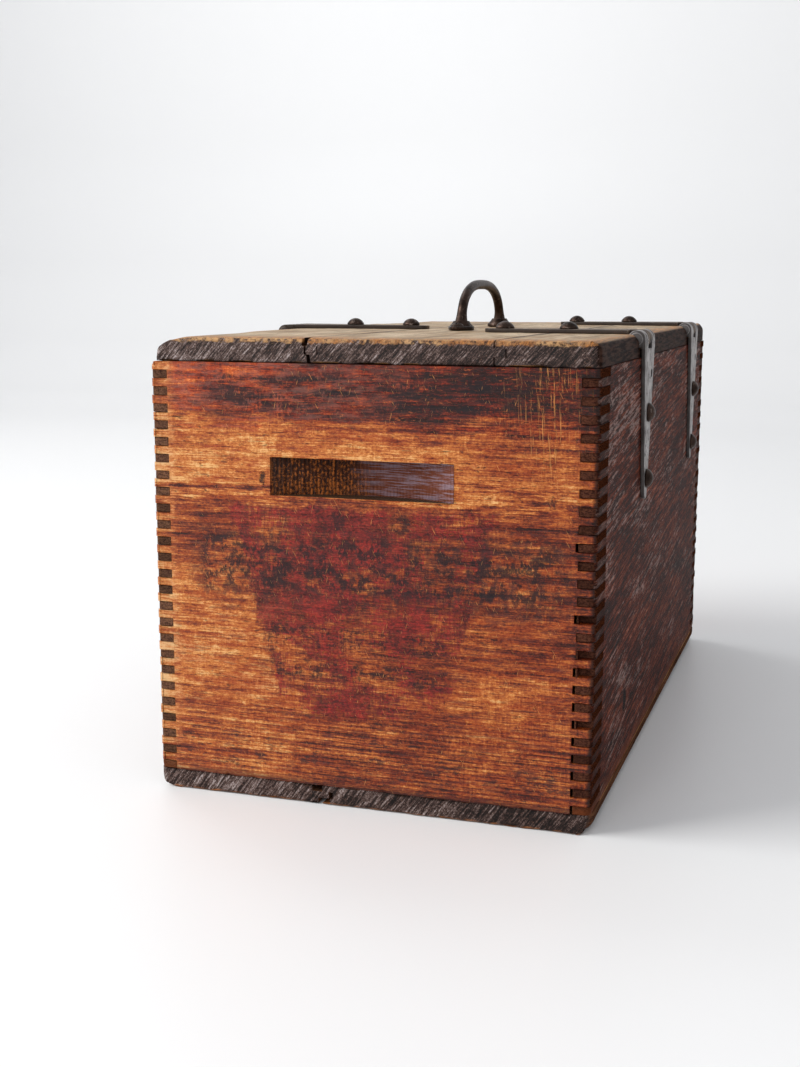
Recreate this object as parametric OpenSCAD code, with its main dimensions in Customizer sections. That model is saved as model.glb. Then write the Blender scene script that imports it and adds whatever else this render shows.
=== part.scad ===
// Finger-jointed wooden chest with a tongue-and-groove lid on two strap hinges,
// a strap hasp with its staple, and a cast pull on the lid.
// X runs across the narrow end, Y along the length, Z up. The origin is the
// middle of the underside, and the end with the hand-hold that faces -Y is the front.

/* [Body] */
// Width of the body across its end panels
box_width = 242; // [200:1:300]
// Length of the body, end to end
box_length = 440; // [380:1:600]
// Number of fingers that each end panel has at a corner
finger_count = 25; // [20:1:32]
// Height of one finger
finger_height = 4.5; // [4.5:0.1:5.5]
// Thickness of the end panels
end_thickness = 25; // [22:0.5:30]
// Thickness of the side panels
side_thickness = 9.8; // [9:0.1:12]
// Thickness of the bottom boards
bottom_thickness = 10.8; // [10:0.1:14]
// Radius worn on the two long lower edges
bottom_edge_radius = 7; // [2:0.5:9]

/* [Hand-holds] */
// Length of the hand-hold at the surface
grip_length = 100; // [80:1:110]
// Height of the hand-hold
grip_height = 20; // [16:1:26]
// Depth at the middle of its curved floor
grip_depth = 14; // [10:0.5:16]
// Height of its middle above the underside
grip_z = 177; // [160:1:190]
// Offset of the front hand-hold from the middle of its panel
front_grip_x = -2.5; // [-10:0.5:10]

/* [Lid] */
// Thickness of the lid boards
lid_thickness = 12.8; // [12:0.1:16]
// Gap between the lid and the side panels
lid_gap = 0.4; // [0.3:0.1:1]
// Radius worn on the upper long edge over the hasp
lid_left_radius = 12; // [4:0.5:12.5]
// Radius worn on the upper long edge over the hinges
lid_right_radius = 6; // [2:0.5:6.5]
// Width of the battens under the lid
batten_width = 28; // [20:1:36]
// Thickness of the battens under the lid
batten_thickness = 12; // [8:0.5:14]
// Distance of each batten from the middle of the length
batten_y = 165; // [155:1:170]

/* [Strap hinges and hasp] */
// Thickness of the leaves
leaf_thickness = 2.2; // [1.8:0.1:2.4]
// Length of a leaf from the pin to its tip
leaf_length = 92; // [88:1:110]
// Width of a leaf at the knuckles
leaf_width = 38; // [34:1:44]
// Radius of the rounded tip
leaf_tip_radius = 5.4; // [5:0.1:7]
// Outer radius of the knuckles
knuckle_radius = 5; // [4.8:0.1:5.4]
// Radius of the hinge pins
pin_radius = 2.6; // [2.2:0.1:2.7]
// Lengthwise position of the front hinge
front_hinge_y = -81; // [-100:1:-70]
// Lengthwise position of the rear hinge
rear_hinge_y = 135; // [100:1:140]
// Lengthwise position of the hasp
hasp_y = -22; // [-28:1:20]
// Length of the hasp flap from the pin to its end
flap_length = 84; // [80:1:90]
// Angle by which the loose flap stands off the side panel
flap_rest_angle = 17; // [17:0.5:25]

/* [Fasteners] */
// Radius of the bolt heads
bolt_head_radius = 5.6; // [5:0.1:6]
// Height of the bolt heads
bolt_head_height = 4.2; // [3:0.1:5]
// Radius of the bolt shanks
bolt_radius = 2.6; // [2.2:0.1:2.7]
// Width of the square nuts across their flats
nut_width = 9.5; // [8:0.5:11]
// Thickness of the square nuts
nut_thickness = 4; // [3:0.5:5]

/* [Lid pull] */
// Distance between the legs of the pull
pull_span = 95; // [90:1:100]
// Height of the grip's middle line above the lid
pull_rise = 28; // [27:0.5:34]
// Radius of the grip
pull_radius = 3; // [2.5:0.1:4]
// Offset of the pull from the middle of the width
pull_x = 2; // [-6:1:8]

/* [Hidden] */

$fn = 48;
over = 1;                                    // how far a cutter runs past the surface it cuts
joint_gap = 0.1;                             // play at each face of a finger
drilled_play = 0.1;                          // a drilled hole's radius beyond its shank's
snug_play = 0.05;                            // the same for a threaded or riveted fit
panel_height = 2 * finger_count * finger_height;
panel_top = bottom_thickness + panel_height;
half_width = box_width / 2;
half_length = box_length / 2;
inner_half_width = half_width - side_thickness;
inner_half_length = half_length - end_thickness;
grip_radius = (pow(grip_length / 2, 2) + pow(grip_depth, 2)) / (2 * grip_depth);

// Tongues and grooves of the bottom and lid boards
tongue_depth = 6;
tongue_play = 0.2;
bottom_joint_x = -27;
bottom_joint_gap = 2.2;
lid_joint_gap = 0.6;
lid_left_joint_x = -32;
lid_right_joint_x = 67;

// Lid
lid_bottom = panel_top + lid_gap;
lid_top = lid_bottom + lid_thickness;
lid_left_inset = 2.7;                        // the lid is a little narrower than the body
lid_right_inset = 0.8;
lid_left_x = -half_width + lid_left_inset;
lid_right_x = half_width - lid_right_inset;
lid_chamfer = 1;
batten_left_x = -98;
batten_right_x = 84;

// Hinge axes: the leaves' outer faces are tangent to the knuckles
axis_z = lid_top + leaf_thickness - knuckle_radius;
hinge_x = half_width + leaf_thickness - knuckle_radius;
hasp_gap = 0.4;                              // between the closed flap and the side panel
hasp_x = -half_width - hasp_gap - leaf_thickness + knuckle_radius;
pin_bore_radius = pin_radius + drilled_play;
knuckle_gap = 0.4;
plate_start = knuckle_radius + 0.6;          // where the flat of a leaf begins
middle_knuckle = leaf_width / 6;             // half the length of the middle knuckle
notch_radius = knuckle_radius + 1.4;
notch_half_length = leaf_width / 2 + 2;
pin_head_radius = 3.8;
pin_head_height = 1.2;
bolt_places = [42, 80];                      // distances from the pin
spare_hole_place = [20, 9];                  // empty screw hole: from the pin, from the middle
spare_hole_radius = 2.7;
leaf_hole_radius = bolt_radius + 0.3;
wood_hole_radius = bolt_radius + drilled_play;
bolt_tail = 1.2;                             // shank past the nut
lid_bolt_length = leaf_thickness + lid_thickness + nut_thickness + bolt_tail;
side_bolt_length = leaf_thickness + side_thickness + nut_thickness + bolt_tail;

// Hasp slot and staple
slot_place = 58;                             // distance from the pin
slot_length = 27;
slot_width = 8;
flap_width = 34;
staple_bar_radius = 2.3;
staple_height = 20;
staple_reach = 14;
staple_leg_z = staple_height / 2 - staple_bar_radius;
staple_z = axis_z - slot_place;
back_plate_size = [1.6, 14, 32];
rivet_head_radius = 4;
rivet_head_height = 1.6;

// Nails and screws
nail_radius = 1.3;
nail_head_radius = 3;
nail_head_height = 0.8;
side_nail_length = 28;
end_nail_length = 34;
side_nail_count = 7;
side_nail_inset = 15;                        // from the inside of an end panel to the first nail
side_nail_shift = 1;                         // from the middle of a side panel inwards
end_nail_places = [-92, -52, 20, 56, 92];
screw_radius = 2;
batten_screw_places = [-80, -48, 12, 48, 76];
batten_screw_length = 20;

// Lid pull
bow_power = 0.78;                            // below 1 squares the bow's shoulders
bow_root = 1;                                // the bow starts inside its foot plates
bow_steps = 40;
bow_nudge = 0.001;                           // half the step that a tangent is taken over
bow_sides = 16;
pull_flange_thickness = 2.6;
pull_flange_radius = 8;
pull_flange_end_radius = 7;
pull_screw_reach = 9;                        // from a leg to its screw
pull_foot_radius = 5.6;
pull_foot_height = 13;
pull_screw_head_radius = 4;
pull_screw_head_height = 2.2;
pull_screw_length = 13;

board_dark = [0.23, 0.17, 0.15];
board_amber = [0.70, 0.38, 0.16];
board_brown = [0.33, 0.19, 0.14];
board_tan = [0.66, 0.54, 0.38];
iron_grey = [0.42, 0.40, 0.39];
iron_dark = [0.20, 0.17, 0.15];

// ---- Shapes that repeat ----

function finger_z(i) = panel_top - (2 * i + 1) * finger_height;

// Sockets in an end panel for the side panels' fingers, at one long edge
module end_panel_sockets(side) {
    depth = side_thickness + joint_gap;
    for (i = [0 : finger_count - 1]) {
        last = i == finger_count - 1;
        low = finger_z(i) - finger_height - (last ? over : joint_gap);
        high = finger_z(i) + joint_gap;
        translate([side > 0 ? half_width - depth : -half_width - over, -half_length - over, low])
            cube([depth + over, end_thickness + 2 * over, high - low]);
    }
}

// Sockets in a side panel for an end panel's fingers, at one end
module side_panel_sockets(end) {
    depth = end_thickness + joint_gap;
    for (i = [0 : finger_count - 1]) {
        low = finger_z(i) - joint_gap;
        high = finger_z(i) + finger_height + (i == 0 ? over : joint_gap);
        translate([-over, end > 0 ? half_length - depth : -half_length - over, low])
            cube([side_thickness + 2 * over, depth + over, high - low]);
    }
}

// End panel at the front, with its blind hand-hold cut by a wide round cutter
module end_panel(grip_x) {
    color(board_amber)
    difference() {
        translate([-half_width, -half_length, bottom_thickness])
            cube([box_width, end_thickness, panel_height]);
        for (side = [-1, 1])
            end_panel_sockets(side);
        translate([grip_x, -half_length + grip_depth - grip_radius, grip_z - grip_height / 2])
            cylinder(r = grip_radius, h = grip_height, $fn = 96);
    }
}

// Side panel standing on its inner face at x = 0, outer face at x = side_thickness
module side_panel() {
    difference() {
        translate([0, -half_length, bottom_thickness])
            cube([side_thickness, box_length, panel_height]);
        for (end = [-1, 1])
            side_panel_sockets(end);
    }
}

// Extrudes an outline drawn in X and Z along the whole length
module along_length() {
    translate([0, half_length, 0])
        rotate([90, 0, 0])
            linear_extrude(height = box_length)
                children();
}

// Removes a square corner outside a quarter circle; sx and sy point out of the corner
module corner_round(x, z, radius, sx, sz) {
    translate([x - sx * radius, z - sz * radius])
        difference() {
            translate([sx > 0 ? 0 : -radius - over, sz > 0 ? 0 : -radius - over])
                square(radius + over);
            circle(r = radius, $fn = 64);
        }
}

// A board's outline between two edges, with a tongue on its right or a groove in its left
module board_outline(x0, x1, z0, z1, tongue, groove) {
    tongue_height = (z1 - z0) / 3;
    tongue_z = z0 + tongue_height;
    difference() {
        union() {
            translate([x0, z0])
                square([x1 - x0, z1 - z0]);
            if (tongue)
                translate([x1 - over, tongue_z])
                    square([tongue_depth + over, tongue_height]);
        }
        if (groove)
            translate([x0 - over, tongue_z - tongue_play])
                square([tongue_depth + over, tongue_height + 2 * tongue_play]);
    }
}

module bottom_section() {
    difference() {
        children();
        corner_round(-half_width, 0, bottom_edge_radius, -1, -1);
        corner_round(half_width, 0, bottom_edge_radius, 1, -1);
    }
}

module lid_section() {
    difference() {
        children();
        corner_round(lid_left_x, lid_top, lid_left_radius, -1, 1);
        corner_round(lid_right_x, lid_top, lid_right_radius, 1, 1);
        translate([lid_right_x, lid_bottom])
            rotate([0, 0, 45])
                square(sqrt(2) * lid_chamfer, center = true);
    }
}

// Bore through the lid for a bolt
module lid_bolt_holes(direction, pin_x, y) {
    for (place = bolt_places)
        translate([pin_x + direction * place, y, lid_bottom - over])
            cylinder(r = wood_hole_radius, h = lid_thickness + 2 * over);
}

// Room in a lid edge for the knuckles
module knuckle_notch(pin_x, y) {
    translate([pin_x, y + notch_half_length, axis_z])
        rotate([90, 0, 0])
            cylinder(r = notch_radius, h = 2 * notch_half_length);
}

// Knuckle on the pin axis between two places along it, with its tangent root
module knuckle(y0, y1) {
    translate([0, y1, 0])
        rotate([90, 0, 0])
            cylinder(r = knuckle_radius, h = y1 - y0);
    translate([0, y0, knuckle_radius - leaf_thickness])
        cube([plate_start + over, y1 - y0, leaf_thickness]);
}

module knuckles(outer) {
    edge = middle_knuckle + knuckle_gap;
    if (outer) {
        knuckle(edge, leaf_width / 2);
        knuckle(-leaf_width / 2, -edge);
    } else {
        knuckle(-middle_knuckle, middle_knuckle);
    }
}

// A leaf that runs along +X from a pin on the Y axis, with its outer face up.
// The children are its plan outline.
module leaf(outer) {
    difference() {
        union() {
            translate([0, 0, knuckle_radius - leaf_thickness])
                linear_extrude(height = leaf_thickness)
                    children();
            knuckles(outer);
        }
        translate([0, leaf_width, 0])
            rotate([90, 0, 0])
                cylinder(r = pin_bore_radius, h = 2 * leaf_width);
    }
}

function strap_half_width(place) =
    leaf_width / 2 + (leaf_tip_radius - leaf_width / 2) * place / (leaf_length - leaf_tip_radius);

// Plan of a tapered strap with a rounded tip, two bolt holes and a spare hole
module strap_plan() {
    shoulder = leaf_length - leaf_tip_radius;
    start_half = strap_half_width(plate_start);
    difference() {
        union() {
            polygon([
                [plate_start, -start_half], [shoulder, -leaf_tip_radius],
                [shoulder, leaf_tip_radius], [plate_start, start_half]
            ]);
            translate([shoulder, 0])
                circle(r = leaf_tip_radius);
        }
        for (place = bolt_places)
            translate([place, 0])
                circle(r = leaf_hole_radius);
        translate(spare_hole_place)
            circle(r = spare_hole_radius);
    }
}

// Plan of the hasp flap, with its long slot for the staple
module flap_plan() {
    half = flap_width / 2;
    difference() {
        union() {
            translate([plate_start, -half])
                square([flap_length - half - plate_start, flap_width]);
            translate([flap_length - half, 0])
                circle(r = half, $fn = 64);
        }
        translate([slot_place - slot_length / 2 + slot_width / 2, -slot_width / 2])
            square([slot_length - slot_width, slot_width]);
        for (end = [-1, 1])
            translate([slot_place + end * (slot_length - slot_width) / 2, 0])
                circle(r = slot_width / 2);
    }
}

module strap_leaf(outer) {
    color(iron_grey)
        leaf(outer)
            strap_plan();
}

module hinge_lid_leaf(y) {
    translate([hinge_x, y, axis_z])
        mirror([1, 0, 0])
            strap_leaf(false);
}

module hinge_side_leaf(y) {
    translate([hinge_x, y, axis_z])
        rotate([0, 90, 0])
            strap_leaf(true);
}

// Pin along Y with a flattened head at each end
module hinge_pin(x, y) {
    half = leaf_width / 2;
    color(iron_dark)
    translate([x, y, axis_z])
        rotate([90, 0, 0]) {
            cylinder(r = pin_radius, h = leaf_width, center = true);
            for (end = [0, 1])
                mirror([0, 0, end])
                    translate([0, 0, half])
                        cylinder(r1 = pin_head_radius, r2 = pin_radius, h = pin_head_height);
        }
}

// Domed head above z = 0
module domed_head(radius, height) {
    dome = (pow(radius, 2) + pow(height, 2)) / (2 * height);
    intersection() {
        translate([0, 0, height - dome])
            sphere(r = dome);
        cylinder(r = radius, h = height + over);
    }
}

module round_head_bolt(shank_length) {
    color(iron_dark) {
        domed_head(bolt_head_radius, bolt_head_height);
        translate([0, 0, -shank_length])
            cylinder(r = bolt_radius, h = shank_length + over);
    }
}

// Square nut whose bearing face is at z = 0
module square_nut() {
    nut_bore_radius = bolt_radius + snug_play;
    color(iron_dark)
    translate([0, 0, -nut_thickness])
        difference() {
            translate([-nut_width / 2, -nut_width / 2, 0])
                cube([nut_width, nut_width, nut_thickness]);
            translate([0, 0, -over])
                cylinder(r = nut_bore_radius, h = nut_thickness + 2 * over);
        }
}

// Puts its children at both bolts of each hinge's side leaf, pointing out of the side panel
module at_side_bolts(x) {
    for (y = [front_hinge_y, rear_hinge_y], place = bolt_places)
        translate([x, y, axis_z - place])
            rotate([0, 90, 0])
                children();
}

// Puts its children at both bolts of each hinge's lid leaf
module at_lid_bolts(z) {
    for (y = [front_hinge_y, rear_hinge_y], place = bolt_places)
        translate([hinge_x - place, y, z])
            children();
}

// Puts its children at both bolts of the hasp's lid leaf
module at_hasp_bolts(z) {
    for (place = bolt_places)
        translate([hasp_x + place, hasp_y, z])
            children();
}

// ---- Body of the chest ----

module front_end_panel() {
    end_panel(front_grip_x);
}

module rear_end_panel() {
    mirror([0, 1, 0])
        end_panel(0);
}

module left_side_panel() {
    color(board_brown)
    difference() {
        mirror([1, 0, 0])
            translate([inner_half_width, 0, 0])
                side_panel();
        for (leg = [-1, 1])
            translate([-half_width - over, hasp_y, staple_z + leg * staple_leg_z])
                rotate([0, 90, 0])
                    cylinder(r = staple_bar_radius + drilled_play, h = side_thickness + 2 * over);
    }
}

module right_side_panel() {
    color(board_brown)
    difference() {
        translate([inner_half_width, 0, 0])
            side_panel();
        at_side_bolts(inner_half_width - over)
            cylinder(r = wood_hole_radius, h = side_thickness + 2 * over);
    }
}

module bottom_board_left() {
    color(board_dark)
    along_length()
        bottom_section()
            board_outline(-half_width, bottom_joint_x, 0, bottom_thickness, true, false);
}

module bottom_board_right() {
    color(board_dark)
    along_length()
        bottom_section()
            board_outline(bottom_joint_x + bottom_joint_gap, half_width, 0, bottom_thickness,
                          false, true);
}

module bottom_nail(length) {
    cylinder(r = nail_head_radius, h = nail_head_height);
    cylinder(r = nail_radius, h = length);
}

// Nails driven up through the bottom boards into the sides and ends
module bottom_nails() {
    side_x = half_width - side_thickness / 2;
    end_y = half_length - end_thickness / 2;
    first_y = side_nail_inset - inner_half_length;
    pitch = -2 * first_y / (side_nail_count - 1);
    color(iron_dark) {
        for (side = [-1, 1], i = [0 : side_nail_count - 1])
            translate([side * (side_x - side_nail_shift), first_y + i * pitch, 0])
                bottom_nail(side_nail_length);
        for (end = [-1, 1], x = end_nail_places)
            translate([x, end * end_y, 0])
                bottom_nail(end_nail_length);
    }
}

module front_hinge_side_leaf() {
    hinge_side_leaf(front_hinge_y);
}

module rear_hinge_side_leaf() {
    hinge_side_leaf(rear_hinge_y);
}

module front_hinge_pin() {
    hinge_pin(hinge_x, front_hinge_y);
}

module rear_hinge_pin() {
    hinge_pin(hinge_x, rear_hinge_y);
}

module hinge_side_bolts() {
    at_side_bolts(half_width + leaf_thickness)
        round_head_bolt(side_bolt_length);
}

module hinge_side_nuts() {
    at_side_bolts(inner_half_width)
        square_nut();
}

// U-shaped staple whose legs pass through the left side panel
module hasp_staple() {
    bend = staple_leg_z;
    straight = staple_reach - staple_bar_radius - bend;
    leg_length = straight + side_thickness + back_plate_size[0];
    color(iron_dark)
    translate([-half_width, hasp_y, staple_z]) {
        translate([-straight, 0, 0])
            rotate([90, 0, 0])
                rotate([0, 0, 90])
                    rotate_extrude(angle = 180)
                        translate([bend, 0])
                            circle(r = staple_bar_radius);
        for (leg = [-1, 1])
            translate([-straight, 0, leg * staple_leg_z])
                rotate([0, 90, 0]) {
                    cylinder(r = staple_bar_radius, h = leg_length);
                    translate([0, 0, leg_length])
                        domed_head(rivet_head_radius, rivet_head_height);
                }
    }
}

// Plate inside the panel that the staple's legs are riveted over
module staple_back_plate() {
    color(iron_grey)
    translate([-inner_half_width, hasp_y, staple_z])
        difference() {
            translate([0, -back_plate_size[1] / 2, -back_plate_size[2] / 2])
                cube(back_plate_size);
            for (leg = [-1, 1])
                translate([-over, 0, leg * staple_leg_z])
                    rotate([0, 90, 0])
                        cylinder(r = staple_bar_radius + snug_play,
                                 h = back_plate_size[0] + 2 * over);
        }
}

// ---- Lid ----

module lid_board_left() {
    color(board_tan)
    difference() {
        along_length()
            lid_section()
                board_outline(lid_left_x, lid_left_joint_x, lid_bottom, lid_top, true, false);
        knuckle_notch(hasp_x, hasp_y);
        lid_bolt_holes(1, hasp_x, hasp_y);
    }
}

module lid_board_middle() {
    color(board_tan)
    difference() {
        along_length()
            lid_section()
                board_outline(lid_left_joint_x + lid_joint_gap, lid_right_joint_x,
                              lid_bottom, lid_top, true, true);
        lid_bolt_holes(-1, hinge_x, front_hinge_y);
        lid_bolt_holes(-1, hinge_x, rear_hinge_y);
    }
}

module lid_board_right() {
    color(board_tan)
    difference() {
        along_length()
            lid_section()
                board_outline(lid_right_joint_x + lid_joint_gap, lid_right_x,
                              lid_bottom, lid_top, false, true);
        for (y = [front_hinge_y, rear_hinge_y]) {
            knuckle_notch(hinge_x, y);
            lid_bolt_holes(-1, hinge_x, y);
        }
    }
}

module lid_batten(y) {
    color(board_amber)
    translate([batten_left_x, y - batten_width / 2, lid_bottom - batten_thickness])
        cube([batten_right_x - batten_left_x, batten_width, batten_thickness]);
}

module lid_batten_front() {
    lid_batten(-batten_y);
}

module lid_batten_rear() {
    lid_batten(batten_y);
}

// Flat-headed screws from below through the battens into the lid boards
module batten_screws() {
    color(iron_dark)
    for (y = [-batten_y, batten_y], x = batten_screw_places)
        translate([x, y, lid_bottom - batten_thickness]) {
            cylinder(r = screw_radius, h = batten_screw_length);
            cylinder(r1 = 2 * screw_radius, r2 = screw_radius, h = screw_radius);
        }
}

module front_hinge_lid_leaf() {
    hinge_lid_leaf(front_hinge_y);
}

module rear_hinge_lid_leaf() {
    hinge_lid_leaf(rear_hinge_y);
}

module hinge_lid_bolts() {
    at_lid_bolts(lid_top + leaf_thickness)
        round_head_bolt(lid_bolt_length);
}

module hinge_lid_nuts() {
    at_lid_bolts(lid_bottom)
        square_nut();
}

module hasp_lid_leaf() {
    translate([hasp_x, hasp_y, axis_z])
        strap_leaf(true);
}

module hasp_pin() {
    hinge_pin(hasp_x, hasp_y);
}

module hasp_bolts() {
    at_hasp_bolts(lid_top + leaf_thickness)
        round_head_bolt(lid_bolt_length);
}

module hasp_nuts() {
    at_hasp_bolts(lid_bottom)
        square_nut();
}

// The grip's middle line is a squarish half oval: u runs from one foot, 0, to the other, 1
function bow_angle(u) = 90 * (1 - cos(180 * u));
function bow_point(u) = [
    0,
    sign(cos(bow_angle(u))) * pull_span / 2 * pow(abs(cos(bow_angle(u))), bow_power),
    bow_root + (pull_rise - bow_root) * pow(max(0, sin(bow_angle(u))), bow_power)
];
function bow_tangent(u) =
    let (step = bow_point(min(1, u + bow_nudge)) - bow_point(max(0, u - bow_nudge)))
    step / norm(step);
function bow_radius(u) =
    pull_radius
    + (pull_foot_radius - pull_radius) * pow(max(0, 1 - bow_point(u)[2] / pull_foot_height), 2);
function bow_ring(u) =
    let (along = bow_tangent(u), out = [0, -along[2], along[1]])
    [for (side = [0 : bow_sides - 1])
        let (turn = 360 * side / bow_sides)
        bow_point(u) + bow_radius(u) * (cos(turn) * out + [sin(turn), 0, 0])];

// The grip with its flared feet, swept along its middle line
module pull_bow() {
    rings = [for (i = [0 : bow_steps]) each bow_ring(i / bow_steps)];
    last = bow_steps * bow_sides;
    walls = [for (i = [0 : bow_steps - 1], side = [0 : bow_sides - 1])
        let (next = (side + 1) % bow_sides, here = i * bow_sides, above = here + bow_sides)
        each [[here + side, above + side, above + next], [here + side, above + next, here + next]]];
    first_cap = [for (side = [0 : bow_sides - 1]) side];
    last_cap = [for (side = [bow_sides - 1 : -1 : 0]) last + side];
    polyhedron(points = rings, faces = concat(walls, [first_cap, last_cap]));
}

// Oval foot plate with its screw hole beyond the leg
module pull_flange() {
    leg_y = pull_span / 2;
    difference() {
        linear_extrude(height = pull_flange_thickness) {
            translate([0, leg_y])
                circle(r = pull_flange_radius);
            translate([-pull_flange_end_radius, leg_y])
                square([2 * pull_flange_end_radius, pull_screw_reach]);
            translate([0, leg_y + pull_screw_reach])
                circle(r = pull_flange_end_radius);
        }
        translate([0, leg_y + pull_screw_reach, -over])
            cylinder(r = screw_radius + drilled_play, h = pull_flange_thickness + 2 * over);
    }
}

module lid_pull() {
    color(iron_dark)
    translate([pull_x, 0, lid_top]) {
        pull_bow();
        for (end = [0, 1])
            mirror([0, end, 0])
                pull_flange();
    }
}

module pull_screws() {
    color(iron_grey)
    for (end = [-1, 1])
        translate([pull_x, end * (pull_span / 2 + pull_screw_reach), lid_top + pull_flange_thickness]) {
            domed_head(pull_screw_head_radius, pull_screw_head_height);
            translate([0, 0, -pull_screw_length])
                cylinder(r = screw_radius, h = pull_screw_length + over);
        }
}

// ---- Hasp flap ----

// The slotted flap, hanging just clear of the staple
module hasp_flap() {
    color(iron_grey)
    translate([hasp_x, hasp_y, axis_z])
        rotate([0, flap_rest_angle, 0])
            mirror([1, 0, 0])
                rotate([0, 90, 0])
                    leaf(false)
                        flap_plan();
}

front_end_panel();
rear_end_panel();
left_side_panel();
right_side_panel();
bottom_board_left();
bottom_board_right();
bottom_nails();
front_hinge_side_leaf();
rear_hinge_side_leaf();
front_hinge_pin();
rear_hinge_pin();
hinge_side_bolts();
hinge_side_nuts();
hasp_staple();
staple_back_plate();
lid_board_left();
lid_board_middle();
lid_board_right();
lid_batten_front();
lid_batten_rear();
batten_screws();
front_hinge_lid_leaf();
rear_hinge_lid_leaf();
hinge_lid_bolts();
hinge_lid_nuts();
hasp_lid_leaf();
hasp_pin();
hasp_bolts();
hasp_nuts();
lid_pull();
pull_screws();
hasp_flap();
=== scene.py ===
"""Looks of an old finger-jointed chest with a hinged lid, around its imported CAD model.

Lengths here are in millimetres in the row frame until a mesh is made: X across the narrow
end, Y along the length, Z up. The end with the front hand-hold is at -Y.
"""

import math

import bmesh
import bpy
import numpy as np
from mathutils import Matrix, Vector


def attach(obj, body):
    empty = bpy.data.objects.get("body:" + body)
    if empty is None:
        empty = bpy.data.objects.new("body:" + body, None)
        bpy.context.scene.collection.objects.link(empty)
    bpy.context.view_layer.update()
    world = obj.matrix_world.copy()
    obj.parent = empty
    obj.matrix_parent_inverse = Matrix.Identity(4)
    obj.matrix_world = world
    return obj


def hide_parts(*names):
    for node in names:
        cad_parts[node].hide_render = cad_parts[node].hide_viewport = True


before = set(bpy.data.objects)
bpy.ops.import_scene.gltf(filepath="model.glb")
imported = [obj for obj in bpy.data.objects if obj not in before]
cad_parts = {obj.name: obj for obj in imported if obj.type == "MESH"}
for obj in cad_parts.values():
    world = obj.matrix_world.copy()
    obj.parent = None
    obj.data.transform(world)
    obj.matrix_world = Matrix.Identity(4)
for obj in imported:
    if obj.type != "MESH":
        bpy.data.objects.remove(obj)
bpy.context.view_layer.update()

MM = 0.001

# ---- Places and sizes shared with the CAD model ----
HALF_WIDTH = 121.0
HALF_LENGTH = 220.0
BOTTOM = 10.8
FINGERS = 25
FINGER = 4.5
PANEL_TOP = 235.8
SIDE = 9.8
END = 25.0
INNER_X = HALF_WIDTH - SIDE
INNER_Y = HALF_LENGTH - END
PLAY = 0.1
LID_BOTTOM = 236.2
LID_TOP = 249.0
LID_LEFT = -118.3
LID_RIGHT = 120.2
LEFT_JOINT = -32.0
RIGHT_JOINT = 67.0
LID_GAP = 0.6
AXIS_Z = 246.2
HINGE_X = 118.2
HINGE_YS = (-81.0, 135.0)
HASP_X = -118.6
HASP_Y = -22.0
LEAF = 2.2
KNUCKLE = 5.0
BOLTS = (42.0, 80.0)
GRIP_Z = 177.0
GRIP_HALF = 50.0
GRIP_DEPTH = 14.0
GRIP_RADIUS = 96.29
FRONT_GRIP_X = -2.5
BATTEN_Y = 165.0
BATTEN = 12.0
STAPLE_Z = AXIS_Z - 58.0
LID_ROUND = 12.0
LID_SLOPE = 22.0
LID_FALL = 11.4
LEFT_ARRIS = 2.2
RIGHT_ARRIS = 3.8


# ---- Repeatable noise for shaping meshes ----

def whole_hash(i, j, k, seed):
    """Repeatable numbers from 0 to 1, one for each whole-number point."""
    n = (i * 374761393 + j * 668265263 + k * 2147483647 + seed * 1274126177) & 0xFFFFFFFF
    n = ((n ^ (n >> 13)) * 1103515245) & 0xFFFFFFFF
    n = (n ^ (n >> 16)) & 0xFFFFFFFF
    return n / 0xFFFFFFFF


def bumps(points, size, seed):
    """Smooth noise from -1 to 1 whose features are about size mm, a number or one per axis."""
    p = points / np.asarray(size, float)
    base = np.floor(p).astype(np.int64)
    f = p - base
    f = f * f * (3 - 2 * f)
    total = np.zeros(len(points))
    for corner in range(8):
        bit = np.array([corner & 1, corner >> 1 & 1, corner >> 2 & 1])
        at = base + bit
        total += np.prod(np.where(bit, f, 1 - f), axis=1) * whole_hash(*at.T, seed)
    return 2 * total - 1


def chance(number, seed):
    """One repeatable number from 0 to 1."""
    return float(whole_hash(np.int64(number), np.int64(7), np.int64(13), seed))


# ---- Meshes ----

def steps(start, end, size):
    """Places from start to end, about size apart."""
    return list(np.linspace(start, end, max(2, int(round(abs(end - start) / size)) + 1)))


def places(*lists):
    """Sorted places without near repeats."""
    kept = []
    for value in sorted(v for one in lists for v in one):
        if not kept or value - kept[-1] > 0.05:
            kept.append(value)
    return np.array(kept)


def middles(values):
    return (values[:-1] + values[1:]) / 2


def skin(xs, ys, zs, filled):
    """Points and outward quads round the filled cells of a grid."""
    shape = (len(xs), len(ys), len(zs))
    cells = np.zeros([n + 1 for n in shape], bool)
    cells[1:-1, 1:-1, 1:-1] = filled
    ids = np.arange(np.prod(shape)).reshape(shape)
    quads = []
    for axis in range(3):
        order = (axis, (axis + 1) % 3, (axis + 2) % 3)
        c = cells.transpose(order)
        n = ids.transpose(order)
        below = c[:-1, 1:-1, 1:-1]
        above = c[1:, 1:-1, 1:-1]
        ring = np.stack([n[:, :-1, :-1], n[:, 1:, :-1], n[:, 1:, 1:], n[:, :-1, 1:]], axis=-1)
        quads.append(ring[below & ~above])
        quads.append(ring[~below & above][:, ::-1])
    quads = np.concatenate(quads)
    used, quads = np.unique(quads, return_inverse=True)
    quads = quads.reshape(-1, 4)
    i, j, k = np.unravel_index(used, shape)
    return np.stack([xs[i], ys[j], zs[k]], axis=1), quads


def cell_grid(xs, ys, zs):
    """The middles of all cells, as three arrays that broadcast together."""
    return np.meshgrid(middles(xs), middles(ys), middles(zs), indexing="ij")


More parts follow.
